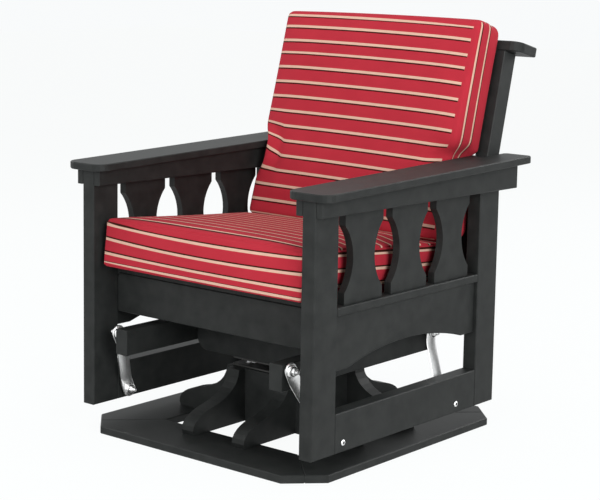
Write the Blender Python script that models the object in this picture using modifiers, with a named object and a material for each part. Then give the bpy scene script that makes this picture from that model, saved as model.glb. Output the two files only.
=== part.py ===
"""Swivel glider armchair: a plastic lumber frame on hangers over a swivelling base."""
import math

import bmesh
import bpy
from mathutils import Matrix, Vector
from mathutils.geometry import interpolate_bezier

# Metres. X is the chair's width, -Y its front and Z up, with the floor at z = 0. The chair is built with
# its swivel axis on the Z axis, and centre_chair then moves it back over the middle of its depth.

# Stock and fits
BOARD = 0.019             # thin lumber
PLANK = 0.038             # thick lumber
FIT = 0.0003              # gap left between pieces that touch
EDGE = 0.002              # chamfer on every sawn edge
OVERRUN = 0.004           # how far a cut or a joined piece runs past the face it meets
LAP = 0.001               # how deep joined slats sink into their battens

# Base frame on the floor
BASE_WIDTH = 0.734
BASE_DEPTH = 0.794
BASE_BOARD_WIDTH = 0.152
BASE_CORNER = 0.077       # length cut off each outer corner

# Pedestal of four crossed boards
PEDESTAL_TOP = 0.153
LONG_LEG_SPREAD = 0.163   # between the middles of the two front-to-back boards
CROSS_LEG_SPREAD = 0.203  # between the middles of the two side-to-side boards
LONG_LEG_REACH = 0.3075
CROSS_LEG_REACH = 0.287
LEG_SHOULDER = 0.1645     # from the foot's tip back to the board's square top
LEG_WAIST = 0.076         # from the foot's tip back to where the hollow turns into the foot
LEG_WAIST_HEIGHT = 0.060  # of that turn above the foot
TOE_HEIGHT = 0.011
TOE_BACK = 0.004

# Swivel bearing
PLATE_SIDE = 0.229
PLATE_THICKNESS = 0.005
PLATE_BORE = 0.012
RACE_HEIGHT = 0.013
RACE_OUTER = 0.075
RACE_INNER = 0.048
KING_BOLT_RADIUS = 0.008
KING_HEAD_RADIUS = 0.014
KING_HEAD_HEIGHT = 0.006

# Glide rails and their cross beams
RAIL_SIDE_GAP = 0.0629    # between a rail and the posts
RAIL_END = 0.021          # how far a rail runs past its pivots
RAIL_BOTTOM = 0.2000
RAIL_HEIGHT = 0.063
BEAM_SPREAD = 0.203
BEAM_ROUND = 0.034        # radius of a beam's lower corners

# Hangers: two front and two rear ones, leaning to each other
TOP_PIVOT_Z = 0.248
LOW_PIVOT_Z = 0.084
FRONT_PIVOT_INSET = 0.0286  # from the front post back to the front lower pivot
REAR_PIVOT_INSET = 0.0821   # from the rear post forward to the rear lower pivot
FRONT_HANGER_RUN = 0.0776   # how far the upper pivot is in front of the lower one
REAR_HANGER_RUN = 0.0179    # how far the upper pivot is behind the lower one
HANGER_WIDTH = 0.038
HANGER_THICKNESS = 0.006
HANGER_PAD = 0.024        # flat length past each eye before the plate bends
EYE_RADIUS = 0.015
EYE_LENGTH = 0.016
BOLT_RADIUS = 0.005
BOLT_PLAY = 0.0003
OPEN_PIVOT_PLAY = 0.0029  # play in the rear lower eyes, where the linkage is left open
SPACER_RADIUS = 0.009
SPACER_LENGTH = 0.0019    # washers between the lumber and an eye
NUT_RADIUS = 0.0095
NUT_HEIGHT = 0.008
BOLT_TAIL = 0.006
STUD_COVER = 0.010        # lumber left between an upper stud and the rail's inner face
HEAD_RADIUS = 0.007
HEAD_HEIGHT = 0.003
HEAD_DOME = 0.0015

# Seat frame
FRAME_CENTRE_Y = -0.0205  # middle of the side frames, from the swivel axis
FRAME_HALF_WIDTH = 0.3664
FRAME_DEPTH = 0.7236
POST_WIDTH = 0.0827
POST_BOTTOM = 0.0617
LOWER_RAIL_TOP = 0.1545
LEDGER_TOP = 0.397
SKIRT_BOTTOM = 0.2495
SKIRT_ARCH = 0.033        # rise of the arch under a side skirt
SKIRT_FLAT = 0.052        # straight length at each end of the arch
END_SKIRT_BOTTOM = 0.2865
REAR_SKIRT_INSET = 0.1203   # from the frame's rear forward to the rear skirt's front

# Arms and aprons
ARM_OVERHANG = 0.0446     # how far an arm stands out past the posts
ARM_THICKNESS = 0.0183
ARM_FRONT_OVERHANG = 0.0157
ARM_REAR_OVERHANG = 0.078
ARM_FRONT_TOP = 0.664
ARM_RISE = 0.0188         # from the arm's front edge to its rear edge
ARM_CORNER = 0.028
ARM_SMALL_CORNER = 0.012
APRON_FRONT_BOTTOM = 0.6095
APRON_REAR_BOTTOM = 0.6018
APRON_REAR_OVERHANG = 0.0517
INNER_APRON_STOP = 0.0268  # short of the rear post's rear face

# Hourglass slats
SLAT_WIDTH = 0.140
SLAT_WAIST = 0.079
SLAT_FOOT = 0.027         # straight part below the curve
SLAT_HEAD = 0.068         # from the curve up to the arms' lowest underside
SLAT_COUNT = 3

# Back
STILE_LEAN = math.radians(13.8)
STILE_DEPTH = 0.0525
STILE_INSET = 0.0026      # from the frame's rear to the stile's front face, at the level below
STILE_FRONT_Z = 0.6715
STILE_BOTTOM = 0.300
STILE_TOP = 0.9422
CAP_WIDTH = 0.0828
CAP_THICKNESS = 0.025
CAP_CORNER = 0.026
BACK_SLAT_WIDTH = 0.089
BACK_SLAT_COUNT = 5
BATTEN_HEIGHT = 0.064
BATTEN_DEPTH = 0.030
LOW_BATTEN_Z = 0.430
HIGH_BATTEN_Z = 0.840

# Seat deck and cushions
SEAT_TILT = math.radians(5.0)
DECK_FRONT_TOP = 0.405
DECK_REAR_INSET = 0.1032  # from the frame's rear forward to the deck's rear edge
DECK_SLAT_COUNT = 5
DECK_SLAT_GAP = 0.024
CLEAT_WIDTH = 0.034
CLEAT_HEIGHT = 0.030
CUSHION_SIDE_GAP = 0.0119  # between a cushion and a post
CUSHION_DRAW = 0.004      # how far each side is drawn in at its middle
CUSHION_ROUND = 0.012     # radius of the edges
SEAT_CUSHION_FRONT_INSET = 0.0129
SEAT_CUSHION_REAR_INSET = 0.0938
SEAT_CUSHION_THICKNESS = 0.115
SEAT_CUSHION_CROWN = 0.019
SEAT_CROWN_SIDE_REACH = 0.200  # from the sides in to where the crown is full
SEAT_CROWN_END_REACH = 0.055
SEAT_CUSHION_PRESSED = 0.145  # length at the rear that the back cushion presses flat
SEAT_CUSHION_CELLS = (10, 12, 4)
BACK_CUSHION_TOP_THICKNESS = 0.100
BACK_CUSHION_LOW_THICKNESS = 0.127
BACK_CUSHION_HEIGHT = 0.543
BACK_CUSHION_CROWN = 0.009
BACK_CROWN_SIDE_REACH = 0.100
BACK_CROWN_END_REACH = 0.100
BACK_CUSHION_PRESSED = 0  # nothing presses on it from above
BACK_CUSHION_CELLS = (10, 18, 4)
CUSHION_FIT = 0.0006
PINCH_ROOM = 0.005        # how much further in than the arms the back cushion is squeezed
PINCH_REACH = 0.058       # above and below the middle of the squeeze
PINCH_BELOW_ARM = 0.030   # from the arms' top down to the middle of the squeeze

# Round pieces and curves
ROUND_STEPS = 14
CORNER_STEPS = 4
ARC_STEPS = 14
BEZIER_STEPS = 7

SIDES = {"left": -1, "right": 1}

# Worked out from the sizes above
LONG_LEG_X = LONG_LEG_SPREAD / 2
CROSS_LEG_Y = CROSS_LEG_SPREAD / 2
FOOT = BOARD + FIT
PLATE_LOW_Z = PEDESTAL_TOP + FIT
RACE_Z = PLATE_LOW_Z + PLATE_THICKNESS + FIT
PLATE_HIGH_Z = RACE_Z + RACE_HEIGHT + FIT
BEAM_BOTTOM = PLATE_HIGH_Z + PLATE_THICKNESS + FIT
RAIL_TOP = RAIL_BOTTOM + RAIL_HEIGHT
POST_INNER = FRAME_HALF_WIDTH - PLANK
RAIL_OUTER = POST_INNER - RAIL_SIDE_GAP
RAIL_INNER = RAIL_OUTER - PLANK
POST_FRONT = -FRAME_DEPTH / 2
POST_REAR = FRAME_DEPTH / 2
BAY = POST_REAR - POST_WIDTH          # half of the opening between a side's posts
PANEL_X = FRAME_HALF_WIDTH - PLANK / 2  # middle plane of the slats and side skirts
PANEL_INNER = PANEL_X - BOARD / 2
FRONT_LOW_PIVOT_Y = FRAME_CENTRE_Y - BAY + FRONT_PIVOT_INSET
REAR_LOW_PIVOT_Y = FRAME_CENTRE_Y + BAY - REAR_PIVOT_INSET
FRONT_TOP_PIVOT_Y = FRONT_LOW_PIVOT_Y - FRONT_HANGER_RUN
REAR_TOP_PIVOT_Y = REAR_LOW_PIVOT_Y + REAR_HANGER_RUN
HANGER_TOP_X = RAIL_OUTER + 2 * FIT + SPACER_LENGTH + EYE_LENGTH / 2   # middle plane of the upper end
HANGER_LOW_X = POST_INNER - 2 * FIT - SPACER_LENGTH - EYE_LENGTH / 2   # middle plane of the lower end
ARM_INNER = POST_INNER - FIT - PLANK
ARM_OUTER = FRAME_HALF_WIDTH + ARM_OVERHANG
ARM_FRONT = POST_FRONT - ARM_FRONT_OVERHANG
ARM_REAR = POST_REAR + ARM_REAR_OVERHANG
ARM_ANGLE = math.atan2(ARM_RISE, ARM_REAR - ARM_FRONT)
LEDGER_BOTTOM = LEDGER_TOP - BOARD
DECK_FRONT = -BAY
DECK_LENGTH = (POST_REAR - DECK_REAR_INSET - DECK_FRONT) / math.cos(SEAT_TILT)
DECK_SLAT_WIDTH = (DECK_LENGTH + DECK_SLAT_GAP) / DECK_SLAT_COUNT - DECK_SLAT_GAP
REAR_SKIRT_FRONT = POST_REAR - REAR_SKIRT_INSET
STILE_FRONT_Y = POST_REAR - STILE_INSET
STILE_LENGTH = (STILE_TOP - STILE_BOTTOM) / math.cos(STILE_LEAN)
CUSHION_HALF_WIDTH = POST_INNER - CUSHION_SIDE_GAP
CUSHION_PINCH = CUSHION_HALF_WIDTH - ARM_INNER + PINCH_ROOM
SEAT_CUSHION_FRONT = POST_FRONT + SEAT_CUSHION_FRONT_INSET
SEAT_CUSHION_REAR = POST_REAR - SEAT_CUSHION_REAR_INSET

parts = bpy.data.collections.new("swivel_glider")
cutters = bpy.data.collections.new("cutters")


def clear_scene():
    for obj in list(bpy.data.objects):
        bpy.data.objects.remove(obj, do_unlink=True)
    for collection in (parts, cutters):
        bpy.context.scene.collection.children.link(collection)


def finish_material(name, colour, roughness, metallic=0.0):
    material = bpy.data.materials.new(name)
    material.use_nodes = True
    shader = material.node_tree.nodes["Principled BSDF"]
    shader.inputs["Base Color"].default_value = (*colour, 1.0)
    shader.inputs["Roughness"].default_value = roughness
    shader.inputs["Metallic"].default_value = metallic
    return material


def plastic_lumber(name):
    return finish_material(name, (0.035, 0.037, 0.037), 0.55)


def zinc_steel(name):
    return finish_material(name, (0.62, 0.62, 0.60), 0.32, 1.0)


def striped_fabric(name):
    return finish_material(name, (0.52, 0.035, 0.055), 0.85)


def dark_steel(name):
    return finish_material(name, (0.30, 0.30, 0.30), 0.45, 1.0)


def pivot_empty(name, place, carrier=None):
    empty = bpy.data.objects.new(name, None)
    empty.location = place
    parts.objects.link(empty)
    hang_on(empty, carrier)
    return empty


def hang_on(obj, carrier):
    """Parents an object to its moving body without moving it."""
    if carrier is None:
        return
    bpy.context.view_layer.update()
    obj.parent = carrier
    obj.matrix_parent_inverse = carrier.matrix_world.inverted()


def add_part(name, data, finish, carrier=None, place=(0, 0, 0), turn=(0, 0, 0)):
    obj = bpy.data.objects.new(name, data)
    obj.location = place
    obj.rotation_euler = turn
    parts.objects.link(obj)
    data.materials.append(finish(name + "_finish"))
    hang_on(obj, carrier)
    return obj


def hide_helper(obj):
    for collection in list(obj.users_collection):
        collection.objects.unlink(obj)
    cutters.objects.link(obj)
    obj.hide_render = True
    obj.display_type = "WIRE"


def box_mesh(name, size):
    mesh = bpy.data.meshes.new(name)
    shape = bmesh.new()
    bmesh.ops.create_cube(shape, size=1.0, matrix=Matrix.Diagonal((*size, 1.0)))
    shape.to_mesh(mesh)
    shape.free()
    return mesh


def chamfer_edges(obj, width=EDGE):
    bevel = obj.modifiers.new("chamfer", "BEVEL")
    bevel.width = width
    bevel.segments = 1
    bevel.limit_method = "ANGLE"
    return obj


def add_box(name, low, high, finish, carrier=None, chamfered=True):
    size = [b - a for a, b in zip(low, high)]
    middle = [(a + b) / 2 for a, b in zip(low, high)]
    obj = add_part(name, box_mesh(name, size), finish, carrier, middle)
    return chamfer_edges(obj) if chamfered else obj


def round_shading(mesh):
    mesh.shade_smooth()
    mesh.set_sharp_from_angle(angle=math.radians(35))


def rod_mesh(name, radius, length, steps=ROUND_STEPS):
    mesh = bpy.data.meshes.new(name)
    shape = bmesh.new()
    bmesh.ops.create_cone(shape, cap_ends=True, segments=steps, radius1=radius, radius2=radius, depth=length,
                          matrix=Matrix.Rotation(math.pi / 2, 4, "Y"))
    shape.to_mesh(mesh)
    shape.free()
    round_shading(mesh)
    return mesh


def helper_rod(name, radius, low_x, high_x, y, z, steps=ROUND_STEPS):
    """A cutting or joining rod along X."""
    rod = bpy.data.objects.new(name, rod_mesh(name, radius, high_x - low_x, steps))
    rod.location = ((low_x + high_x) / 2, y, z)
    cutters.objects.link(rod)
    hide_helper(rod)
    return rod


def use_boolean(obj, tool, operation):
    boolean = obj.modifiers.new(operation.lower(), "BOOLEAN")
    boolean.operation = operation
    boolean.object = tool
    boolean.solver = "EXACT"


def outline_curve(name, points, thickness, chamfered=True):
    """A flat outline of (a, b) points, filled and extruded evenly to both sides."""
    curve = bpy.data.curves.new(name, "CURVE")
    curve.dimensions = "2D"
    curve.fill_mode = "BOTH"
    curve.render_resolution_u = 0
    chamfer = EDGE if chamfered else 0
    curve.extrude = thickness / 2 - chamfer
    curve.bevel_depth = chamfer
    curve.bevel_resolution = 0
    curve.offset = -chamfer
    spline = curve.splines.new("POLY")
    spline.points.add(len(points) - 1)
    for point, (a, b) in zip(spline.points, points):
        point.co = (a, b, 0, 1)
    spline.use_cyclic_u = True
    return curve


ACROSS = (math.pi / 2, 0, math.pi / 2)   # outline in Y and Z, thickness along X
FACING = (math.pi / 2, 0, 0)             # outline in X and Z, thickness along Y


def add_outline(name, points, thickness, finish, carrier, place, turn, chamfered=True):
    curve = outline_curve(name, points, thickness, chamfered)
    return add_part(name, curve, finish, carrier, place, turn)


def arc_points(centre, radius, start, end, steps):
    """Points on an arc, both ends included; angles in radians."""
    angles = [start + (end - start) * i / steps for i in range(steps + 1)]
    return [(centre[0] + radius * math.cos(a), centre[1] + radius * math.sin(a)) for a in angles]


def sagged_arc(start, end, rise, steps):
    """An arc from start to end that bulges by rise to the left of its direction."""
    start, end = Vector(start), Vector(end)
    chord = end - start
    radius = (chord.length ** 2 / 4 + rise ** 2) / (2 * abs(rise))
    side = Vector((-chord.y, chord.x)).normalized() * math.copysign(1, rise)
    centre = (start + end) / 2 - side * (radius - abs(rise))
    first = math.atan2(start.y - centre.y, start.x - centre.x)
    sweep = 2 * math.asin(chord.length / 2 / radius) * -math.copysign(1, rise)
    return arc_points(centre, radius, first, first + sweep, steps)


def bezier_points(*knots):
    """Points on the Bezier curve through a start, two handles and an end."""
    curve = interpolate_bezier(*[(a, b, 0) for a, b in knots], BEZIER_STEPS + 1)
    return [(point.x, point.y) for point in curve]


def turned_mesh(name, profile):
    """Closed profile of (radius, height), from the top down the outer side."""
    mesh = bpy.data.meshes.new(name)
    points = [(radius, 0, height) for radius, height in profile]
    mesh.from_pydata(points, [(i, i + 1) for i in range(len(points) - 1)], [])
    return mesh


def spin(obj, steps=ROUND_STEPS):
    screw = obj.modifiers.new("turn", "SCREW")
    screw.axis = "Z"
    screw.steps = steps
    screw.render_steps = steps
    screw.use_merge_vertices = True
    screw.merge_threshold = FIT / 10
    screw.use_smooth_shade = True
    return obj


def base_board(name, half_run, half_other, turn):
    """One mitred board with its two outer corners cut; half_run lies along local X."""
    inner = half_other - BASE_BOARD_WIDTH
    miter = half_run - BASE_BOARD_WIDTH
    back_off = FIT / 2 / math.sqrt(2)
    corner = (half_run - BASE_CORNER / 2 - back_off, -half_other + BASE_CORNER / 2 - back_off)
    right = [(half_run - BASE_CORNER, -half_other), corner, (miter - back_off, -inner - back_off)]
    points = right + [(-x, y) for x, y in reversed(right)]
    add_outline(name, points, BOARD, plastic_lumber, None, (0, 0, BOARD / 2), (0, 0, turn))


def build_base_frame():
    half_x, half_y = BASE_WIDTH / 2, BASE_DEPTH / 2
    base_board("base_board_front", half_x, half_y, 0)
    base_board("base_board_rear", half_x, half_y, math.pi)
    base_board("base_board_right", half_y, half_x, math.pi / 2)
    base_board("base_board_left", half_y, half_x, -math.pi / 2)


def leg_profile(reach):
    """Right half of a pedestal board from its square top down to its toe."""
    shoulder = (reach - LEG_SHOULDER, PEDESTAL_TOP)
    waist = (reach - LEG_WAIST, FOOT + LEG_WAIST_HEIGHT)
    toe = (reach, FOOT + TOE_HEIGHT)
    drop = shoulder[1] - waist[1]
    run = waist[0] - shoulder[0]
    steep_share, fall_share, ease_share, lift_share = 0.03, 0.60, 0.47, 0.13
    bulge_share, sag_share, toe_share = 0.50, 0.15, 0.55
    hollow = bezier_points(shoulder, (shoulder[0] + run * steep_share, shoulder[1] - drop * fall_share),
                           (waist[0] - run * ease_share, waist[1] + drop * lift_share), waist)
    foot_run, foot_drop = toe[0] - waist[0], waist[1] - toe[1]
    bulge = bezier_points(waist, (waist[0] + foot_run * bulge_share, waist[1] - foot_drop * sag_share),
                          (toe[0], toe[1] + foot_drop * toe_share), toe)
    return hollow + bulge[1:] + [(reach - TOE_BACK, FOOT)]


def pedestal_outline(reach, notch_at, notch_from_top):
    """Closed outline of a pedestal board with its two halving notches."""
    right = leg_profile(reach)
    left = [(-x, z) for x, z in reversed(right)]
    half_notch = PLANK / 2 + FIT
    middle = (PEDESTAL_TOP + FOOT) / 2
    edge = PEDESTAL_TOP if notch_from_top else FOOT
    depth = middle - FIT / 2 if notch_from_top else middle + FIT / 2
    notches = []
    for centre in (-notch_at, notch_at):
        notches += [(centre - half_notch, edge), (centre - half_notch, depth),
                    (centre + half_notch, depth), (centre + half_notch, edge)]
    if notch_from_top:
        return left + notches + right
    return left + right + notches[::-1]


def build_pedestal():
    for side, sign in SIDES.items():
        add_outline("pedestal_board_" + side, pedestal_outline(LONG_LEG_REACH, CROSS_LEG_Y, True), PLANK,
                    plastic_lumber, None, (sign * LONG_LEG_X, 0, 0), ACROSS, chamfered=False)
    for end, sign in {"front": -1, "rear": 1}.items():
        add_outline("pedestal_board_" + end, pedestal_outline(CROSS_LEG_REACH, LONG_LEG_X, False), PLANK,
                    plastic_lumber, None, (0, sign * CROSS_LEG_Y, 0), FACING, chamfered=False)


def swivel_plate(name, bottom, carrier, bore):
    half = PLATE_SIDE / 2
    plate = add_box(name, (-half, -half, bottom), (half, half, bottom + PLATE_THICKNESS), dark_steel, carrier,
                    chamfered=False)
    reach = PLATE_THICKNESS / 2 + OVERRUN
    rod = helper_rod(name + "_bore", bore, -reach, reach, 0, bottom + PLATE_THICKNESS / 2)
    rod.rotation_euler.y = math.pi / 2
    use_boolean(plate, rod, "DIFFERENCE")


def build_swivel(turntable):
    swivel_plate("swivel_lower_plate", PLATE_LOW_Z, None, PLATE_BORE)
    swivel_plate("swivel_upper_plate", PLATE_HIGH_Z, turntable, KING_BOLT_RADIUS + FIT)
    race = [(RACE_INNER, RACE_HEIGHT), (RACE_OUTER, RACE_HEIGHT), (RACE_OUTER, 0), (RACE_INNER, 0),
            (RACE_INNER, RACE_HEIGHT)]
    spin(add_part("swivel_ball_race", turned_mesh("race", race), dark_steel, None, (0, 0, RACE_Z)))
    top = PLATE_HIGH_Z + PLATE_THICKNESS + FIT
    stem = top - PLATE_LOW_Z + KING_HEAD_HEIGHT
    bolt = [(0, KING_HEAD_HEIGHT), (KING_HEAD_RADIUS, KING_HEAD_HEIGHT), (KING_HEAD_RADIUS, 0),
            (KING_BOLT_RADIUS, 0), (KING_BOLT_RADIUS, -stem), (0, -stem)]
    spin(add_part("swivel_king_bolt", turned_mesh("king_bolt", bolt), zinc_steel, turntable, (0, 0, top)))


def build_turntable(turntable):
    half = RAIL_INNER - FIT
    centre = (half - BEAM_ROUND, BEAM_BOTTOM + BEAM_ROUND)
    lower = arc_points(centre, BEAM_ROUND, -math.pi / 2, 0, CORNER_STEPS)
    outline = lower + [(half, RAIL_TOP), (-half, RAIL_TOP)] + [(-x, z) for x, z in reversed(lower)]
    for end, sign in {"front": -1, "rear": 1}.items():
        add_outline("cross_beam_" + end, outline, PLANK, plastic_lumber, turntable,
                    (0, sign * BEAM_SPREAD / 2, 0), FACING)
    for side, sign in SIDES.items():
        inner, outer = sorted((sign * RAIL_INNER, sign * RAIL_OUTER))
        rail = add_box("glide_rail_" + side, (inner, FRONT_TOP_PIVOT_Y - RAIL_END, RAIL_BOTTOM),
                       (outer, REAR_TOP_PIVOT_Y + RAIL_END, RAIL_TOP), plastic_lumber, turntable)
        head_x = sign * (RAIL_INNER - FIT)
        for end, y in {"front": FRONT_TOP_PIVOT_Y, "rear": REAR_TOP_PIVOT_Y}.items():
            blind, mouth = sign * (RAIL_INNER + STUD_COVER), sign * (RAIL_OUTER + OVERRUN)
            bolt_hole(rail, end, blind, mouth, y, TOP_PIVOT_Z)
            pivot_bolt(f"top_pivot_bolt_{end}_{side}", head_x, -sign, y, TOP_PIVOT_Z, turntable, False)


def pivot_bolt(name, head_x, facing, y, z, carrier, headed=True):
    """A bolt with its washers and nut; its head sits at head_x and faces the way facing points along X.
    Without a head it is a stud that ends inside the plank."""
    shank = PLANK + 2 * FIT
    seat = shank + SPACER_LENGTH
    nut_near = seat + EYE_LENGTH + 2 * FIT
    tail = nut_near + NUT_HEIGHT + BOLT_TAIL
    stud_end = STUD_COVER + 2 * FIT
    head = [(0, HEAD_HEIGHT), (HEAD_RADIUS - HEAD_DOME, HEAD_HEIGHT), (HEAD_RADIUS, HEAD_HEIGHT - HEAD_DOME),
            (HEAD_RADIUS, 0), (BOLT_RADIUS, 0)] if headed else [(0, -stud_end), (BOLT_RADIUS, -stud_end)]
    profile = head + [(BOLT_RADIUS, -shank), (SPACER_RADIUS, -shank), (SPACER_RADIUS, -seat),
                      (BOLT_RADIUS, -seat), (BOLT_RADIUS, -tail), (0, -tail)]
    bolt = spin(add_part(name, turned_mesh(name, profile), zinc_steel, carrier, (head_x, y, z),
                         (0, facing * math.pi / 2, 0)))
    low, high = sorted((head_x - facing * nut_near, head_x - facing * (nut_near + NUT_HEIGHT)))
    use_boolean(bolt, helper_rod(name + "_nut", NUT_RADIUS, low, high, y, z, steps=6), "UNION")


def bolt_hole(plank, end, start_x, end_x, y, z):
    low, high = sorted((start_x, end_x))
    hole = helper_rod(f"{plank.name}_hole_{end}", BOLT_RADIUS + FIT, low, high, y, z)
    use_boolean(plank, hole, "DIFFERENCE")


def hanger_rows(length):
    """Half widths and sideways steps of a hanger along its length, from the top end down."""
    end = HANGER_WIDTH / 2
    turns = [math.pi / 2 * i / CORNER_STEPS for i in range(CORNER_STEPS + 1)]
    rows = [(-end * math.cos(t), end * max(math.sin(t), math.sin(turns[1]) / 2), 0) for t in turns]
    rows += [(HANGER_PAD, end, 0), (length - HANGER_PAD, end, 1)]
    rows += [(length - along, half, 1) for along, half, step in reversed(rows[:CORNER_STEPS + 1])]
    return rows


def build_hanger(side, sign, end, top_y, low_y, play, turntable):
    """A bent flat link with an eye at each end; its origin is its upper pivot."""
    name = f"hanger_{end}_{side}"
    drop, run = TOP_PIVOT_Z - LOW_PIVOT_Z, low_y - top_y
    length = math.hypot(drop, run)
    rows = hanger_rows(length)
    mesh = bpy.data.meshes.new(name)
    shape = bmesh.new()
    bmesh.ops.create_grid(shape, x_segments=1, y_segments=len(rows) - 1, size=1.0)
    shape.verts.ensure_lookup_table()
    levels = sorted({round(v.co.y, 5) for v in shape.verts}, reverse=True)
    joggle = sign * (HANGER_LOW_X - HANGER_TOP_X)
    for vert in shape.verts:
        along, half, step = rows[levels.index(round(vert.co.y, 5))]
        vert.co = Vector((step * joggle, math.copysign(half, vert.co.x), -along))
    shape.to_mesh(mesh)
    shape.free()
    lean = math.atan2(run, drop)
    place = (sign * HANGER_TOP_X, top_y, TOP_PIVOT_Z)
    hanger = add_part(name, mesh, zinc_steel, turntable, place, (lean, 0, 0))
    solidify = hanger.modifiers.new("plate", "SOLIDIFY")
    solidify.thickness = HANGER_THICKNESS
    solidify.offset = 0
    add_eye(hanger, "top", sign * HANGER_TOP_X, top_y, TOP_PIVOT_Z, BOLT_PLAY)
    add_eye(hanger, "low", sign * HANGER_LOW_X, low_y, LOW_PIVOT_Z, play)


def add_eye(hanger, level, x, y, z, play):
    low, high = x - EYE_LENGTH / 2, x + EYE_LENGTH / 2
    use_boolean(hanger, helper_rod(f"{hanger.name}_{level}_boss", EYE_RADIUS, low, high, y, z), "UNION")
    bore = helper_rod(f"{hanger.name}_{level}_bore", BOLT_RADIUS + play, low - OVERRUN, high + OVERRUN, y, z)
    use_boolean(hanger, bore, "DIFFERENCE")


def build_hangers(turntable):
    for side, sign in SIDES.items():
        build_hanger(side, sign, "front", FRONT_TOP_PIVOT_Y, FRONT_LOW_PIVOT_Y, BOLT_PLAY, turntable)
        build_hanger(side, sign, "rear", REAR_TOP_PIVOT_Y, REAR_LOW_PIVOT_Y, OPEN_PIVOT_PLAY, turntable)


def arm_underside(y):
    """Height of the arms' sloping underside at y, measured from the frame's middle."""
    lost = ARM_THICKNESS / math.cos(ARM_ANGLE)
    return ARM_FRONT_TOP - lost + (y - ARM_FRONT) * math.tan(ARM_ANGLE)


def side_outline(name, points, thickness, x, seat, chamfered=True):
    """An upright board of (y, z) points, y from the frame's middle, at the plane x."""
    place = (x, FRAME_CENTRE_Y, 0)
    add_outline(name, points, thickness, plastic_lumber, seat, place, ACROSS, chamfered)


def build_side(side, sign, seat):
    middle = sign * PANEL_X
    for end, low in {"front": POST_FRONT, "rear": BAY}.items():
        high = low + POST_WIDTH
        points = [(low, POST_BOTTOM), (high, POST_BOTTOM), (high, arm_underside(high) - FIT),
                  (low, arm_underside(low) - FIT)]
        side_outline(f"post_{end}_{side}", points, PLANK, middle, seat)
    inner, outer = sorted((sign * POST_INNER, sign * FRAME_HALF_WIDTH))
    front, rear = FRAME_CENTRE_Y - BAY + FIT, FRAME_CENTRE_Y + BAY - FIT
    low, high = (inner, front, POST_BOTTOM), (outer, rear, LOWER_RAIL_TOP)
    rail = add_box("lower_rail_" + side, low, high, plastic_lumber, seat)
    head_x = sign * (FRAME_HALF_WIDTH + FIT)
    for end, y in {"front": FRONT_LOW_PIVOT_Y, "rear": REAR_LOW_PIVOT_Y}.items():
        bolt_hole(rail, end, inner - OVERRUN, outer + OVERRUN, y, LOW_PIVOT_Z)
        pivot_bolt(f"low_pivot_bolt_{end}_{side}", head_x, sign, y, LOW_PIVOT_Z, seat)
    add_box("ledger_" + side, (inner, front, LEDGER_BOTTOM), (outer, rear, LEDGER_TOP), plastic_lumber, seat)
    half = BAY - FIT
    low, top, arch_half = SKIRT_BOTTOM, LEDGER_BOTTOM - FIT, half - SKIRT_FLAT
    arch = sagged_arc((-arch_half, low), (arch_half, low), SKIRT_ARCH, ARC_STEPS)
    points = [(-half, low)] + arch + [(half, low), (half, top), (-half, top)]
    side_outline("side_skirt_" + side, points, BOARD, middle, seat)


def slat_outline(centre):
    """Straight foot, an arc cut in from each edge, and a straight top up to the arm."""
    half = SLAT_WIDTH / 2
    foot = LEDGER_TOP + FIT
    low, high = foot + SLAT_FOOT, arm_underside(ARM_FRONT) - SLAT_HEAD
    bite = (SLAT_WIDTH - SLAT_WAIST) / 2
    right = sagged_arc((centre + half, low), (centre + half, high), bite, ARC_STEPS)
    left = [(2 * centre - y, z) for y, z in reversed(right)]
    top = [(y, arm_underside(y) - FIT) for y in (centre + half, centre - half)]
    return [(centre - half, foot), (centre + half, foot)] + right + top + left


def build_slats(side, sign, seat):
    space = (2 * BAY - SLAT_COUNT * SLAT_WIDTH) / (SLAT_COUNT + 1)
    for index in range(SLAT_COUNT):
        centre = -BAY + (index + 1) * space + (index + 0.5) * SLAT_WIDTH
        side_outline(f"arm_slat_{side}_{index + 1}", slat_outline(centre), BOARD, sign * PANEL_X, seat,
                     chamfered=False)


def apron_bottom(y):
    share = (y - POST_FRONT) / (POST_REAR + APRON_REAR_OVERHANG - POST_FRONT)
    return APRON_FRONT_BOTTOM + (APRON_REAR_BOTTOM - APRON_FRONT_BOTTOM) * share


def build_aprons(side, sign, seat):
    reaches = {"outer": (FRAME_HALF_WIDTH + FIT + BOARD / 2, POST_REAR + APRON_REAR_OVERHANG),
               "inner": (POST_INNER - FIT - BOARD / 2, POST_REAR - INNER_APRON_STOP)}
    for level, (x, rear) in reaches.items():
        points = [(POST_FRONT, apron_bottom(POST_FRONT)), (rear, apron_bottom(rear)),
                  (rear, arm_underside(rear) - FIT), (POST_FRONT, arm_underside(POST_FRONT) - FIT)]
        side_outline(f"{level}_apron_{side}", points, BOARD, sign * x, seat)


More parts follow.
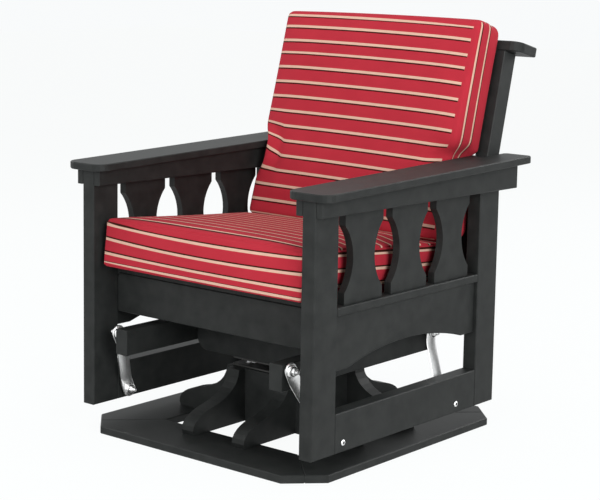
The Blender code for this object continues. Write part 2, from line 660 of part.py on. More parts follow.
def build_arm(side, sign, seat):
    """An arm with rounded corners and a notch for the stile, drawn in (x, y) along its own slope."""
    length = (ARM_REAR - ARM_FRONT) / math.cos(ARM_ANGLE)
    notch = POST_INNER + FIT
    stile_at = STILE_FRONT_Y + (arm_underside(STILE_FRONT_Y) - STILE_FRONT_Z) * math.tan(STILE_LEAN)
    step = stile_at - ARM_FRONT - OVERRUN
    r, s = ARM_CORNER, ARM_SMALL_CORNER
    points = arc_points((ARM_OUTER - r, r), r, -math.pi / 2, 0, CORNER_STEPS)
    points += arc_points((ARM_OUTER - s, length - s), s, 0, math.pi / 2, CORNER_STEPS)
    points += arc_points((notch + s, length - s), s, math.pi / 2, math.pi, CORNER_STEPS)
    points += [(notch, step), (ARM_INNER, step)]
    points += arc_points((ARM_INNER + r, r), r, math.pi, 3 * math.pi / 2, CORNER_STEPS)
    if sign < 0:
        points = [(-x, y) for x, y in reversed(points)]
    drop = ARM_THICKNESS / 2 * math.cos(ARM_ANGLE)
    back = ARM_THICKNESS / 2 * math.sin(ARM_ANGLE)
    place = (0, FRAME_CENTRE_Y + ARM_FRONT + back, ARM_FRONT_TOP - drop)
    add_outline("arm_" + side, points, ARM_THICKNESS, plastic_lumber, seat, place, (ARM_ANGLE, 0, 0))


def stile_front(z):
    """Where a stile's front face is at the height z, from the frame's middle."""
    return STILE_FRONT_Y + (z - STILE_FRONT_Z) * math.tan(STILE_LEAN)


def along_stile(distance, depth):
    """A (y, z) point so far up the stile's front face and so far behind it."""
    y = stile_front(STILE_BOTTOM) + distance * math.sin(STILE_LEAN) + depth * math.cos(STILE_LEAN)
    z = STILE_BOTTOM + distance * math.cos(STILE_LEAN) - depth * math.sin(STILE_LEAN)
    return y, z


def add_leaning_box(name, half_x, low, high, finish, seat, middle_x=0, chamfered=True):
    """A box square to the back; low and high are (distance up the stile, depth behind its front)."""
    size = (2 * half_x, high[1] - low[1], high[0] - low[0])
    y, z = along_stile((low[0] + high[0]) / 2, (low[1] + high[1]) / 2)
    place = (middle_x, FRAME_CENTRE_Y + y, z)
    obj = add_part(name, box_mesh(name, size), finish, seat, place, (-STILE_LEAN, 0, 0))
    return chamfer_edges(obj) if chamfered else obj


def build_back(seat):
    for side, sign in SIDES.items():
        x = sign * (POST_INNER - FIT - PLANK / 2)
        top = (STILE_LENGTH, STILE_DEPTH)
        add_leaning_box("back_stile_" + side, PLANK / 2, (0, 0), top, plastic_lumber, seat, x)
    build_back_slats(seat)
    half, r = FRAME_HALF_WIDTH, CAP_CORNER
    front = arc_points((half - r, r), r, -math.pi / 2, 0, CORNER_STEPS)
    points = front + [(half, CAP_WIDTH), (-half, CAP_WIDTH)] + [(-x, y) for x, y in reversed(front)]
    y, z = along_stile(STILE_LENGTH + FIT + CAP_THICKNESS / 2, 0)
    add_outline("back_cap", points, CAP_THICKNESS, plastic_lumber, seat, (0, FRAME_CENTRE_Y + y, z),
                (-STILE_LEAN, 0, 0))


def build_back_slats(seat):
    """Upright slats joined by a low and a high batten that reach the stiles."""
    inner = POST_INNER - 2 * FIT - PLANK
    bottom = (LOW_BATTEN_Z - STILE_BOTTOM) / math.cos(STILE_LEAN)
    upper = (HIGH_BATTEN_Z - STILE_BOTTOM) / math.cos(STILE_LEAN)
    behind = (BOARD - LAP, BOARD + BATTEN_DEPTH)
    panel = add_leaning_box("back_slats", inner, (bottom, behind[0]), (bottom + BATTEN_HEIGHT, behind[1]),
                            plastic_lumber, seat, chamfered=False)
    joined = [add_leaning_box("high_batten", inner, (upper, behind[0]), (upper + BATTEN_HEIGHT, behind[1]),
                              plastic_lumber, seat, chamfered=False)]
    space = (2 * inner - BACK_SLAT_COUNT * BACK_SLAT_WIDTH) / (BACK_SLAT_COUNT + 1)
    for index in range(BACK_SLAT_COUNT):
        x = -inner + (index + 1) * space + (index + 0.5) * BACK_SLAT_WIDTH
        joined.append(add_leaning_box(f"back_slat_{index}", BACK_SLAT_WIDTH / 2, (bottom, 0),
                                      (STILE_LENGTH - FIT, BOARD), plastic_lumber, seat, x, chamfered=False))
    for piece in joined:
        hide_helper(piece)
        use_boolean(panel, piece, "UNION")


def deck_top(y):
    """Height of the seat deck's top at y, from the frame's middle."""
    return DECK_FRONT_TOP - (y - DECK_FRONT) * math.tan(SEAT_TILT)


def deck_box(name, low, high, seat):
    """A box in the deck's own axes, whose origin is the deck's upper front edge."""
    size = [b - a for a, b in zip(low, high)]
    middle = Vector([(a + b) / 2 for a, b in zip(low, high)])
    origin = Vector((0, FRAME_CENTRE_Y + DECK_FRONT, DECK_FRONT_TOP))
    place = origin + Matrix.Rotation(-SEAT_TILT, 3, "X") @ middle
    return add_part(name, box_mesh(name, size), plastic_lumber, seat, place, (-SEAT_TILT, 0, 0))


def build_seat_deck(seat):
    """Side-to-side slats on two cleats, all square to the seat's tilt."""
    half = POST_INNER - FIT
    bottom, top = -BOARD - CLEAT_HEIGHT, LAP - BOARD
    start = BOARD + 2 * FIT - bottom * math.sin(SEAT_TILT)
    end = REAR_SKIRT_FRONT - DECK_FRONT - 2 * FIT
    deck = deck_box("seat_deck", (-half, start, bottom), (CLEAT_WIDTH - half, end, top), seat)
    joined = [deck_box("deck_cleat", (half - CLEAT_WIDTH, start, bottom), (half, end, top), seat)]
    for index in range(DECK_SLAT_COUNT):
        front = index * (DECK_SLAT_WIDTH + DECK_SLAT_GAP)
        rear = front + DECK_SLAT_WIDTH
        joined.append(deck_box(f"deck_slat_{index}", (-half, front, -BOARD), (half, rear, 0), seat))
    for piece in joined:
        hide_helper(piece)
        use_boolean(deck, piece, "UNION")


def build_end_skirts(seat):
    """Front and rear skirts behind the posts, notched at the top for the ledgers."""
    wide, narrow, notch = PANEL_INNER - FIT, POST_INNER - FIT, LEDGER_BOTTOM - FIT
    for name, front in (("front_skirt", DECK_FRONT + FIT), ("rear_skirt", REAR_SKIRT_FRONT)):
        rear = front + BOARD
        top = deck_top(rear) - BOARD / math.cos(SEAT_TILT) - FIT
        right = [(wide, END_SKIRT_BOTTOM), (wide, notch), (narrow, notch), (narrow, top)]
        if top <= notch:
            right = [(wide, END_SKIRT_BOTTOM), (wide, top)]
        points = right + [(-x, z) for x, z in reversed(right)]
        place = (0, FRAME_CENTRE_Y + front + BOARD / 2, 0)
        add_outline(name, points, BOARD, plastic_lumber, seat, place, FACING)


def arm_squeeze(y, z):
    """How far the arms push the back cushion's side in at this point."""
    middle = arm_underside(y) + ARM_THICKNESS - PINCH_BELOW_ARM
    return CUSHION_PINCH * math.exp(-((z - middle) / PINCH_REACH) ** 4)


def no_squeeze(y, z):
    return 0


def cushion_place(corner, cells, halves):
    """Place in a rounded cushion of a point of an evenly divided cube of size two."""
    outer = [abs(c) == 1 for c in corner]
    pull = CUSHION_ROUND * (1 - 1 / math.sqrt(max(1, sum(outer))))
    place = []
    for c, count, half, on_side in zip(corner, cells, halves, outer):
        inner = c * count / (count - 2) * (half - CUSHION_ROUND)
        place.append(math.copysign(half - pull, c) if on_side else inner)
    return place


def edge_rise(distance, reach):
    """Share of the crown's height at a distance in from the edge."""
    left = 1 - min(max(distance, 0) / reach, 1)
    return math.sqrt(1 - left * left)


def divided_cube(cells):
    cube = bmesh.new()
    bmesh.ops.create_cube(cube, size=2.0)
    for axis, count in enumerate(cells):
        edges = [e for e in cube.edges if abs((e.verts[0].co - e.verts[1].co)[axis]) > 1]
        bmesh.ops.subdivide_edges(cube, edges=edges, cuts=count - 1, use_grid_fill=True)
    for vert in cube.verts:
        vert.co = [round(c * count) / count for c, count in zip(vert.co, cells)]
    return cube


def make_cushion(name, corners, crown, cells, squeeze, seat):
    """A boxed cushion: corners are its (y, z) outline as face low, face high, rear low, rear high,
    and crown is its height, its reach in from the sides and ends, and the length pressed flat at
    the high end."""
    height, side_reach, end_reach, pressed = crown
    face_low, face_high, rear_low, rear_high = (Vector(c) for c in corners)
    upward = (face_high - face_low).normalized()
    halves = (CUSHION_HALF_WIDTH, (face_high - face_low).length / 2, (face_low - rear_low).length / 2)
    cover = divided_cube(cells)
    for vert in cover.verts:
        place = cushion_place(vert.co, cells, halves)
        u, v, w = (c / half for c, half in zip(place, halves))
        near = face_low.lerp(face_high, (v + 1) / 2)
        far = rear_low.lerp(rear_high, (v + 1) / 2)
        swell = height * max(0, w) * edge_rise(halves[0] - abs(place[0]), side_reach)
        for inward in (halves[1] + place[1], halves[1] - place[1] - pressed):
            swell *= edge_rise(inward, end_reach)
        draw = CUSHION_DRAW * v * abs(v) * (1 - u * u) * max(0, w)
        point = far.lerp(near, (w + 1) / 2) + (near - far).normalized() * swell - upward * draw
        drawn_in = CUSHION_DRAW * (1 - v * v) + squeeze(point.x, point.y)
        vert.co = (place[0] - u * drawn_in, point.x, point.y)
    bmesh.ops.recalc_face_normals(cover, faces=cover.faces)
    mesh = bpy.data.meshes.new(name)
    cover.to_mesh(mesh)
    cover.free()
    round_shading(mesh)
    add_part(name, mesh, striped_fabric, seat, (0, FRAME_CENTRE_Y, 0))


def seat_top(y):
    """Height of the seat cushion's upper seam at y, from the frame's middle."""
    return deck_top(y) + CUSHION_FIT + SEAT_CUSHION_THICKNESS / math.cos(SEAT_TILT)


def build_cushions(seat):
    low = CUSHION_FIT
    lean = SEAT_CUSHION_THICKNESS * math.sin(SEAT_TILT)
    front, rear = SEAT_CUSHION_FRONT, SEAT_CUSHION_REAR
    corners = ((front + lean, seat_top(front)), (rear + lean, seat_top(rear)),
               (front, deck_top(front) + low), (rear, deck_top(rear) + low))
    crown = (SEAT_CUSHION_CROWN, SEAT_CROWN_SIDE_REACH, SEAT_CROWN_END_REACH, SEAT_CUSHION_PRESSED)
    make_cushion("seat_cushion", corners, crown, SEAT_CUSHION_CELLS, no_squeeze, seat)
    above_seat = seat_top(stile_front(LOW_BATTEN_Z)) + CUSHION_FIT - STILE_BOTTOM
    bottom = above_seat / math.cos(STILE_LEAN)
    top = bottom + BACK_CUSHION_HEIGHT
    front_bottom = bottom - BACK_CUSHION_LOW_THICKNESS * math.tan(STILE_LEAN - SEAT_TILT)
    corners = (along_stile(front_bottom, -BACK_CUSHION_LOW_THICKNESS),
               along_stile(top, -BACK_CUSHION_TOP_THICKNESS),
               along_stile(bottom, -CUSHION_FIT), along_stile(top, -CUSHION_FIT))
    crown = (BACK_CUSHION_CROWN, BACK_CROWN_SIDE_REACH, BACK_CROWN_END_REACH, BACK_CUSHION_PRESSED)
    make_cushion("back_cushion", corners, crown, BACK_CUSHION_CELLS, arm_squeeze, seat)


def centre_chair():
    """Moves the chair so that the middle of its overall depth stands at the origin."""
    front = FRAME_CENTRE_Y + ARM_FRONT
    rear = FRAME_CENTRE_Y + along_stile(STILE_LENGTH + FIT + CAP_THICKNESS - EDGE, CAP_WIDTH)[0]
    for obj in bpy.data.objects:
        if obj.parent is None:
            obj.location.y -= (front + rear) / 2


def build_chair():
    clear_scene()
    build_base_frame()
    build_pedestal()
    turntable = pivot_empty("turntable_pivot", (0, 0, 0))
    build_swivel(turntable)
    build_turntable(turntable)
    build_hangers(turntable)
    seat = pivot_empty("seat_pivot", (-HANGER_LOW_X, FRONT_LOW_PIVOT_Y, LOW_PIVOT_Z), turntable)
    for side, sign in SIDES.items():
        build_side(side, sign, seat)
        build_slats(side, sign, seat)
        build_aprons(side, sign, seat)
        build_arm(side, sign, seat)
    build_end_skirts(seat)
    build_back(seat)
    build_seat_deck(seat)
    build_cushions(seat)
    centre_chair()


build_chair()
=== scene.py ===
import math

import bmesh
import bpy
import numpy as np
from mathutils import Matrix, Vector


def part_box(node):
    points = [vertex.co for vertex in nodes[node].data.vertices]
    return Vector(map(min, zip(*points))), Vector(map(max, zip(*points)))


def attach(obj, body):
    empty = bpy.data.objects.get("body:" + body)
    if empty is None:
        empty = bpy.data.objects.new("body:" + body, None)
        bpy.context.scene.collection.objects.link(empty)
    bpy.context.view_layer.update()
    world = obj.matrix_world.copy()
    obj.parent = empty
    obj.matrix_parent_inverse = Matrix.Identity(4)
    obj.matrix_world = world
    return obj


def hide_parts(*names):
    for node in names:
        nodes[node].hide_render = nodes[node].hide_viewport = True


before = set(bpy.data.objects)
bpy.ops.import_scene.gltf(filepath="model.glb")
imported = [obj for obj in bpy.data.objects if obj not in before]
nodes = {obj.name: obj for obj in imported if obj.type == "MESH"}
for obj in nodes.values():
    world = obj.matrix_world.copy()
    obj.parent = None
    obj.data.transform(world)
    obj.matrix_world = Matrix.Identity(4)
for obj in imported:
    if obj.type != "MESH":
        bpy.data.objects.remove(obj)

# Metres throughout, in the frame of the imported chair: -Y is its front, +Z up, the floor is z = 0.
scene = bpy.context.scene
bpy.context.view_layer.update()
print("chair frame loaded, pieces:", len(nodes))


def newMaterial(name):
    material = bpy.data.materials.new(name)
    material.use_nodes = True
    tree = material.node_tree
    tree.nodes.clear()
    output = tree.nodes.new("ShaderNodeOutputMaterial")
    shader = tree.nodes.new("ShaderNodeBsdfPrincipled")
    tree.links.new(shader.outputs["BSDF"], output.inputs["Surface"])
    return material, tree, shader


def addNode(tree, kind, inputs=None, **settings):
    node = tree.nodes.new("ShaderNode" + kind)
    for key, value in settings.items():
        setattr(node, key, value)
    for key, value in (inputs or {}).items():
        if isinstance(value, bpy.types.NodeSocket):
            tree.links.new(value, node.inputs[key])
        else:
            node.inputs[key].default_value = value
    return node


def ramp(tree, factor, stops):  # stops are (position, colour) pairs
    node = addNode(tree, "ValToRGB", {"Fac": factor})
    elements = node.color_ramp.elements
    while len(elements) < len(stops):
        elements.new(0.5)
    for element, (position, colour) in zip(elements, stops):
        element.position = position
        element.color = (*colour, 1)
    return node.outputs["Color"]


def rescale(tree, value, low, high):
    node = addNode(tree, "MapRange", {"Value": value, "To Min": low, "To Max": high})
    return node.outputs["Result"]


def mathNode(tree, operation, a, b=0.0):
    node = addNode(tree, "Math", operation=operation)
    for socket, value in zip(node.inputs, (a, b)):
        if isinstance(value, bpy.types.NodeSocket):
            tree.links.new(value, socket)
        else:
            socket.default_value = value
    return node.outputs[0]


def mixColour(tree, factor, under, over):
    node = addNode(tree, "Mix", {"Factor": factor}, data_type="RGBA")
    for socket, value in ((node.inputs[6], under), (node.inputs[7], over)):
        if isinstance(value, bpy.types.NodeSocket):
            tree.links.new(value, socket)
        else:
            socket.default_value = (*value, 1)
    return node.outputs[2]


def meshPiece(name, bm, material, crease=None):  # crease: edges sharper than this many degrees stay sharp
    bmesh.ops.recalc_face_normals(bm, faces=bm.faces)
    mesh = bpy.data.meshes.new(name)
    bm.to_mesh(mesh)
    bm.free()
    mesh.shade_smooth()
    if crease:
        mesh.set_sharp_from_angle(angle=math.radians(crease))
    mesh.materials.append(material)
    piece = bpy.data.objects.new(name, mesh)
    scene.collection.objects.link(piece)
    return piece


# Black plastic lumber: fine streaks along each board, cloudy satin, and a painted highlight that makes the
# edges a little paler.
backLean = 13.8               # degrees, of the back's stiles, slats and cushion
lumberLook = {
    "dark": (0.0060, 0.0072, 0.0070),
    "pale": (0.0110, 0.0124, 0.0121),
    "edgeHighlight": (0.030, 0.032, 0.031),
    "grainLength": 0.16,      # m
    "grainWidth": 0.0013,
    "mottle": 0.035,          # size of the cloudy patches
    "streakShare": 0.6,       # of the tone; the cloudy patches have the rest
    "toneEnds": (0.36, 0.66),          # noise that gives the dark and the pale colour
    "edgeHighlightEnds": (0.505, 0.56),       # pointiness of an edge, from no painted highlight to the full one
    "edgeHighlightMost": 0.8,
    "roughness": (0.44, 0.58),
    "gloss": 0.16,
    "bump": 0.10,
    "bumpDepth": 0.0004,
}


def lumberMaterial(name, grain, lean=0.0):
    look = lumberLook
    material, tree, shader = newMaterial(name)
    place = addNode(tree, "TexCoord").outputs["Object"]
    turned = addNode(tree, "Mapping", {"Vector": place, "Rotation": (lean, 0, 0)}).outputs["Vector"]
    stretch = [1 / look["grainWidth"]] * 3
    stretch["xyz".index(grain)] = 1 / look["grainLength"]
    grained = addNode(tree, "Mapping", {"Vector": turned, "Scale": stretch}).outputs["Vector"]
    fine = addNode(tree, "TexNoise", {"Vector": grained, "Scale": 1.0, "Detail": 4.0, "Roughness": 0.6})
    cloudy = addNode(tree, "TexNoise", {"Vector": place, "Scale": 1 / look["mottle"], "Detail": 3.0})
    both = mathNode(tree, "ADD", mathNode(tree, "MULTIPLY", fine.outputs["Fac"], look["streakShare"]),
                    mathNode(tree, "MULTIPLY", cloudy.outputs["Fac"], 1 - look["streakShare"]))
    plain = ramp(tree, both, list(zip(look["toneEnds"], (look["dark"], look["pale"]))))
    # painted highlight: edges found by pointiness are made paler in patches, in place of light caught on the
    # rounded edges
    pointy = addNode(tree, "NewGeometry").outputs["Pointiness"]
    edges = ramp(tree, pointy, list(zip(look["edgeHighlightEnds"], ((0, 0, 0), [look["edgeHighlightMost"]] * 3))))
    paintedHighlight = mathNode(tree, "MULTIPLY", edges, cloudy.outputs["Fac"])
    tree.links.new(mixColour(tree, paintedHighlight, plain, look["edgeHighlight"]), shader.inputs["Base Color"])
    tree.links.new(rescale(tree, both, *look["roughness"]), shader.inputs["Roughness"])
    shader.inputs["Specular IOR Level"].default_value = look["gloss"]
    bump = addNode(tree, "Bump", {"Height": fine.outputs["Fac"], "Strength": look["bump"],
                                  "Distance": look["bumpDepth"]})
    tree.links.new(bump.outputs["Normal"], shader.inputs["Normal"])
    return material


lumberAlong = {grain: lumberMaterial("blackLumber" + grain.upper(), grain) for grain in "xyz"}
lumberLeaning = lumberMaterial("blackLumberLeaning", "z", -math.radians(backLean))
print("lumber materials ready")


# Steel: zinc spangle on the bolts and hangers, a duller plate finish on the swivel whose colour is darkened
# as painted shade of the seat above; the same dark steel paints shade into hollows and grooves.
steelLook = {
    "zinc": {"colour": (0.93, 0.94, 0.93), "roughness": (0.28, 0.44), "patch": 0.004},
    # painted shade: the plate colour is kept dark because the swivel lies in the seat's shadow
    "plate": {"colour": (0.075, 0.075, 0.073), "roughness": (0.42, 0.60), "patch": 0.006},
}
steelContrast = 0.10          # between the dim and the pale specks
steelSpecks = {"scale": 900.0, "bump": 0.06, "depth": 0.0002}


def steelMaterial(name, look):
    material, tree, shader = newMaterial(name)
    place = addNode(tree, "TexCoord").outputs["Object"]
    cells = addNode(tree, "TexVoronoi", {"Vector": place, "Scale": 1 / look["patch"]})
    fine = addNode(tree, "TexNoise", {"Vector": place, "Scale": steelSpecks["scale"], "Detail": 3.0})
    both = mathNode(tree, "ADD", mathNode(tree, "MULTIPLY", cells.outputs["Color"], 0.5),
                    mathNode(tree, "MULTIPLY", fine.outputs["Fac"], 0.5))
    pale = [min(1, c * (1 + steelContrast)) for c in look["colour"]]
    dim = [c * (1 - steelContrast) for c in look["colour"]]
    tree.links.new(ramp(tree, both, [(0.2, dim), (0.8, pale)]), shader.inputs["Base Color"])
    tree.links.new(rescale(tree, both, *look["roughness"]), shader.inputs["Roughness"])
    shader.inputs["Metallic"].default_value = 1.0
    bump = addNode(tree, "Bump", {"Height": fine.outputs["Fac"], "Strength": steelSpecks["bump"],
                                  "Distance": steelSpecks["depth"]})
    tree.links.new(bump.outputs["Normal"], shader.inputs["Normal"])
    return material


zincSteel = steelMaterial("zincSteel", steelLook["zinc"])
plateSteelAndShade = steelMaterial("plateSteelAndShade", steelLook["plate"])
print("steel materials ready")

# Boards by the way their grain runs; every other board runs from front to rear.
alongX = ("front_skirt", "rear_skirt", "back_cap", "back_slats", "cross_beam", "pedestal_board_front",
          "pedestal_board_rear", "base_board_front", "base_board_rear", "seat_deck")
alongZ = ("post", "arm_slat")


def dressNode(name, node):
    if name.startswith("hanger") or "bolt" in name:
        finish = zincSteel
    elif name.startswith("swivel"):
        finish = plateSteelAndShade
    elif name.startswith("back_stile"):
        finish = lumberLeaning
    elif name.startswith(alongX):
        finish = lumberAlong["x"]
    elif name.startswith(alongZ):
        finish = lumberAlong["z"]
    else:
        finish = lumberAlong["y"]
    node.data.materials.clear()
    node.data.materials.append(finish)


for name, node in nodes.items():
    dressNode(name, node)
print("boards and steel dressed")


def hexShare(angle):  # radius of a hexagon at an angle, as a share of its corner radius
    return math.cos(math.pi / 6) / math.cos(angle % (math.pi / 3) - math.pi / 6)


def turnedShape(bm, centre, profile, axis="x", steps=24, closed=False, angles=None):
    # Turns rows of (along, radius, outline) round an axis; closed joins the last row to the first.
    angles = angles or [math.tau * k / steps for k in range(steps)]
    columns = []
    for angle in angles:
        column = []
        for along, radius, *outline in profile:
            reach = radius * (outline[0](angle) if outline else 1)
            a, b = reach * math.cos(angle), reach * math.sin(angle)
            offset = (along, a, b) if axis == "x" else (a, b, along)
            column.append(bm.verts.new(Vector(centre) + Vector(offset)))
        columns.append(column)
    rows = len(profile)
    made = []
    for k, column in enumerate(columns):
        after = columns[(k + 1) % len(columns)]
        for i in range(rows if closed else rows - 1):
            j = (i + 1) % rows
            made.append(bm.faces.new((column[i], column[j], after[j], after[i])))
    corners = list(dict.fromkeys(v for face in made for v in face.verts))
    bmesh.ops.remove_doubles(bm, verts=corners, dist=1e-6)


def nodeMiddle(name):
    low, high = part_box(name)
    return [(a + b) / 2 for a, b in zip(low, high)]


# Pivot bolts and studs, along X. Distances are from the chair's middle plane, outwards.
pivotBolt = {
    "headFace": 0.3697, "headSeat": 0.3667, "headRadius": 0.0070,
    "socketRadius": 0.0038, "socketDepth": 0.0024,
    "shankRadius": 0.0050, "washer": (0.3262, 0.3281), "washerRadius": 0.0090, "washerSoft": 0.0004,
    "nut": (0.3017, 0.3095), "nutRadius": 0.0095, "nutBore": 0.0052, "nutBevel": 0.0007,
    "collar": 0.0014, "tail": 0.2957,
}
topStud = {
    "start": 0.2450, "washer": (0.2658, 0.2677), "nut": (0.2843, 0.2921), "tail": 0.2982,
}
threadPitch = 0.00125


def nutProfile(near, far, radius):  # chamfered hexagon with a nylon collar on its far side
    way = math.copysign(1, far - near)
    bore, bevel = pivotBolt["nutBore"], way * pivotBolt["nutBevel"]
    collar = far - way * pivotBolt["collar"]
    return [(near, bore), (near, radius * 0.90), (near + bevel, radius, hexShare),
            (collar - bevel, radius, hexShare), (collar, radius * 0.88),
            (far - way * 0.0004, radius * 0.76), (far, radius * 0.70), (far, bore)]


def washerProfile(low, high):
    radius, soft, bore = pivotBolt["washerRadius"], pivotBolt["washerSoft"], pivotBolt["nutBore"]
    return [(low, bore), (low, radius - soft), (low + soft, radius), (high - soft, radius),
            (high, radius - soft), (high, bore)]


def threadProfile(start, end, radius):  # ridges to the tail, which is chamfered
    way = math.copysign(1, end - start)
    turns = int(abs(end - start) / threadPitch)
    rows = []
    for k in range(turns):
        rows += [(start + way * k * threadPitch, radius),
                 (start + way * (k + 0.5) * threadPitch, radius * 0.88)]
    return rows + [(end - way * 0.0006, radius * 0.90), (end, radius * 0.74), (end, 0)]


def mirrored(profile, sign):
    return [(sign * row[0], *row[1:]) for row in profile]


def paintSocketShade(piece, y, z):  # painted shade: the hex socket's hollow takes the dark steel
    piece.data.materials.append(plateSteelAndShade)
    inside = pivotBolt["socketRadius"] * 1.01
    for polygon in piece.data.polygons:
        x = abs(polygon.center.x)
        away = math.hypot(polygon.center.y - y, polygon.center.z - z)
        if -0.0002 < x - pivotBolt["headFace"] + pivotBolt["socketDepth"] < 0.0020 and away < inside:
            polygon.material_index = 1


def makeBoltPiece(node, body, profiles):
    x, y, z = nodeMiddle(node)
    sign = math.copysign(1, x)
    bm = bmesh.new()
    for profile, closed in profiles:
        turnedShape(bm, (0, y, z), mirrored(profile, sign), closed=closed)
    piece = meshPiece("fitted_" + node, bm, zincSteel, crease=32)
    paintSocketShade(piece, y, z)
    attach(piece, body)
    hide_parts(node)


def makeLowBolt(node):
    look = pivotBolt
    face, seat = look["headFace"], look["headSeat"]
    radius, shank = look["headRadius"], look["shankRadius"]
    socket, floor = look["socketRadius"], face - look["socketDepth"]
    rod = [(floor, 0), (floor, socket, hexShare), (face - 0.0003, socket, hexShare), (face, socket * 1.12),
           (face - 0.0002, radius * 0.66), (face - 0.0009, radius * 0.88), (face - 0.0019, radius * 0.985),
           (seat + 0.0002, radius), (seat, radius * 0.97), (seat, shank)]
    nutFar, nutNear = look["nut"]
    rod += [(nutNear, shank)] + threadProfile(nutFar, look["tail"], shank)
    makeBoltPiece(node, "seat", [(rod, False), (washerProfile(*look["washer"]), True),
                                 (nutProfile(nutNear, nutFar, look["nutRadius"]), True)])


def makeTopStud(node):
    look, shank = topStud, pivotBolt["shankRadius"]
    nutNear, nutFar = look["nut"]
    rod = [(look["start"], 0), (look["start"], shank), (nutNear, shank)]
    rod += threadProfile(nutFar, look["tail"], shank)
    makeBoltPiece(node, "turntable", [(rod, False), (washerProfile(*look["washer"]), True),
                                      (nutProfile(nutNear, nutFar, pivotBolt["nutRadius"]), True)])


for name in sorted(nodes):
    if name.startswith("low_pivot_bolt"):
        makeLowBolt(name)
    elif name.startswith("top_pivot_bolt"):
        makeTopStud(name)
print("pivot bolts and studs made")


# Hangers: a pressed strap, thicker along its middle, with a bearing eye at each end.
hangerStrap = {
    "topX": 0.2760, "lowX": 0.3179, "topZ": 0.248, "lowZ": 0.084,
    "topPivots": {"front": -0.3952, "rear": 0.1478}, "lowPivots": {"front": -0.3176, "rear": 0.1299},
    "width": 0.0380, "thickMiddle": 0.0060, "thickEdge": 0.0020, "rimShare": 0.55,
    "pad": 0.024,             # flat length round each pivot, before the joggle
    "bendSoft": 0.006,
    "cellsAcross": 14, "endCells": 6, "nearCells": 9, "longCells": 16,
    "holeRadius": 0.0105, "eyeRadius": 0.0150, "eyeLength": 0.0160,
    "boreRadius": 0.0054, "looseBore": 0.0079,
    "grooveShadeBand": (0.0030, 0.0053), "grooveShadeDepth": 0.0026,   # inside the rim, and below the eye's face
}


def strapRows(length):  # (distance below the top pivot, half width) from end to end
    half, spec = hangerStrap["width"] / 2, hangerStrap
    turns = [math.pi / 2 * (k + 0.35) / (spec["endCells"] + 0.35) for k in range(spec["endCells"])]
    cap = [(half * math.cos(t), half * math.sin(t)) for t in turns]
    rows = [(-beyond, wide) for beyond, wide in cap]
    near = [spec["pad"] * k / spec["nearCells"] for k in range(spec["nearCells"])]
    rows += [(d, half) for d in near]
    rows += [(spec["pad"] + (length - 2 * spec["pad"]) * k / spec["longCells"], half)
             for k in range(spec["longCells"] + 1)]
    rows += [(length - d, half) for d in reversed(near)]
    return rows + [(length + beyond, wide) for beyond, wide in reversed(cap)]


def makeStrap(bm, top, low, outward):
    spec = hangerStrap
    run = Vector((0, low.y - top.y, low.z - top.z))
    length = run.length
    down = run / length
    across = Vector((0, -down.z, down.y))
    rows = strapRows(length)
    inner = spec["cellsAcross"] - 4
    shares = [-1, -0.96] + [-0.88 + 1.76 * k / inner for k in range(inner + 1)] + [0.96, 1]
    joggle, soft = length - 2 * spec["pad"], spec["bendSoft"]
    sheets = []
    for way in (1, -1):
        sheet = []
        for distance, half in rows:
            past = [(distance + off - spec["pad"]) / joggle for off in (-soft, 0, soft)]
            step = sum(min(max(share, 0), 1) for share in past) / 3
            x = top.x + (low.x - top.x) * step
            sheet.append([])
            for share in shares:
                rim = spec["rimShare"] if abs(share) == 1 else 1
                thick = (spec["thickMiddle"] + (spec["thickEdge"] - spec["thickMiddle"]) * share ** 2) * rim
                place = top + down * distance + across * (share * half)
                place.x = x + way * outward * thick / 2
                sheet[-1].append(bm.verts.new(place))
        sheets.append(sheet)
    kept = set()
    for i in range(len(rows) - 1):
        for j in range(len(shares) - 1):
            distance = (rows[i][0] + rows[i + 1][0]) / 2
            side = (shares[j] + shares[j + 1]) / 2 * (rows[i][1] + rows[i + 1][1]) / 2
            if min(math.hypot(distance, side), math.hypot(distance - length, side)) > spec["holeRadius"]:
                kept.add((i, j))
    for i, j in kept:
        square = [(i, j), (i + 1, j), (i + 1, j + 1), (i, j + 1)]
        bm.faces.new([sheets[0][a][b] for a, b in square])
        bm.faces.new([sheets[1][a][b] for a, b in reversed(square)])
        beside = [(i, j - 1), (i + 1, j), (i, j + 1), (i - 1, j)]
        for k, other in enumerate(beside):
            if other not in kept:
                (a, b), (c, d) = square[k], square[(k + 1) % 4]
                bm.faces.new((sheets[0][c][d], sheets[0][a][b], sheets[1][a][b], sheets[1][c][d]))


def eyeProfile(bore):  # outer ring, dark groove and a bearing sleeve, the same on both faces
    spec = hangerStrap
    half, radius = spec["eyeLength"] / 2, spec["eyeRadius"]
    rim = ((0.0032, 0), (0.0010, 0.0004), (0.0002, 0.0016), (0.0004, 0.0030),
           (0.0022, 0.0038), (0.0024, 0.0050), (0.0006, 0.0054))   # (below the face, inside the rim)
    side = [(half - below, radius - inside) for below, inside in rim]
    side += [(half, max(radius - 0.0064, bore + 0.0010)), (half, bore + 0.0005), (half - 0.0005, bore)]
    return side + [(-x, r) for x, r in reversed(side)]


def paintGrooveShade(piece, centres):  # painted shade in the groove round each bearing sleeve
    spec = hangerStrap
    near, far = spec["grooveShadeBand"]
    piece.data.materials.append(plateSteelAndShade)
    for polygon in piece.data.polygons:
        for centre in centres:
            inside = spec["eyeRadius"] - math.hypot(polygon.center.y - centre.y, polygon.center.z - centre.z)
            below = spec["eyeLength"] / 2 - abs(polygon.center.x - centre.x)
            if near < inside < far and below < spec["grooveShadeDepth"]:
                polygon.material_index = 1


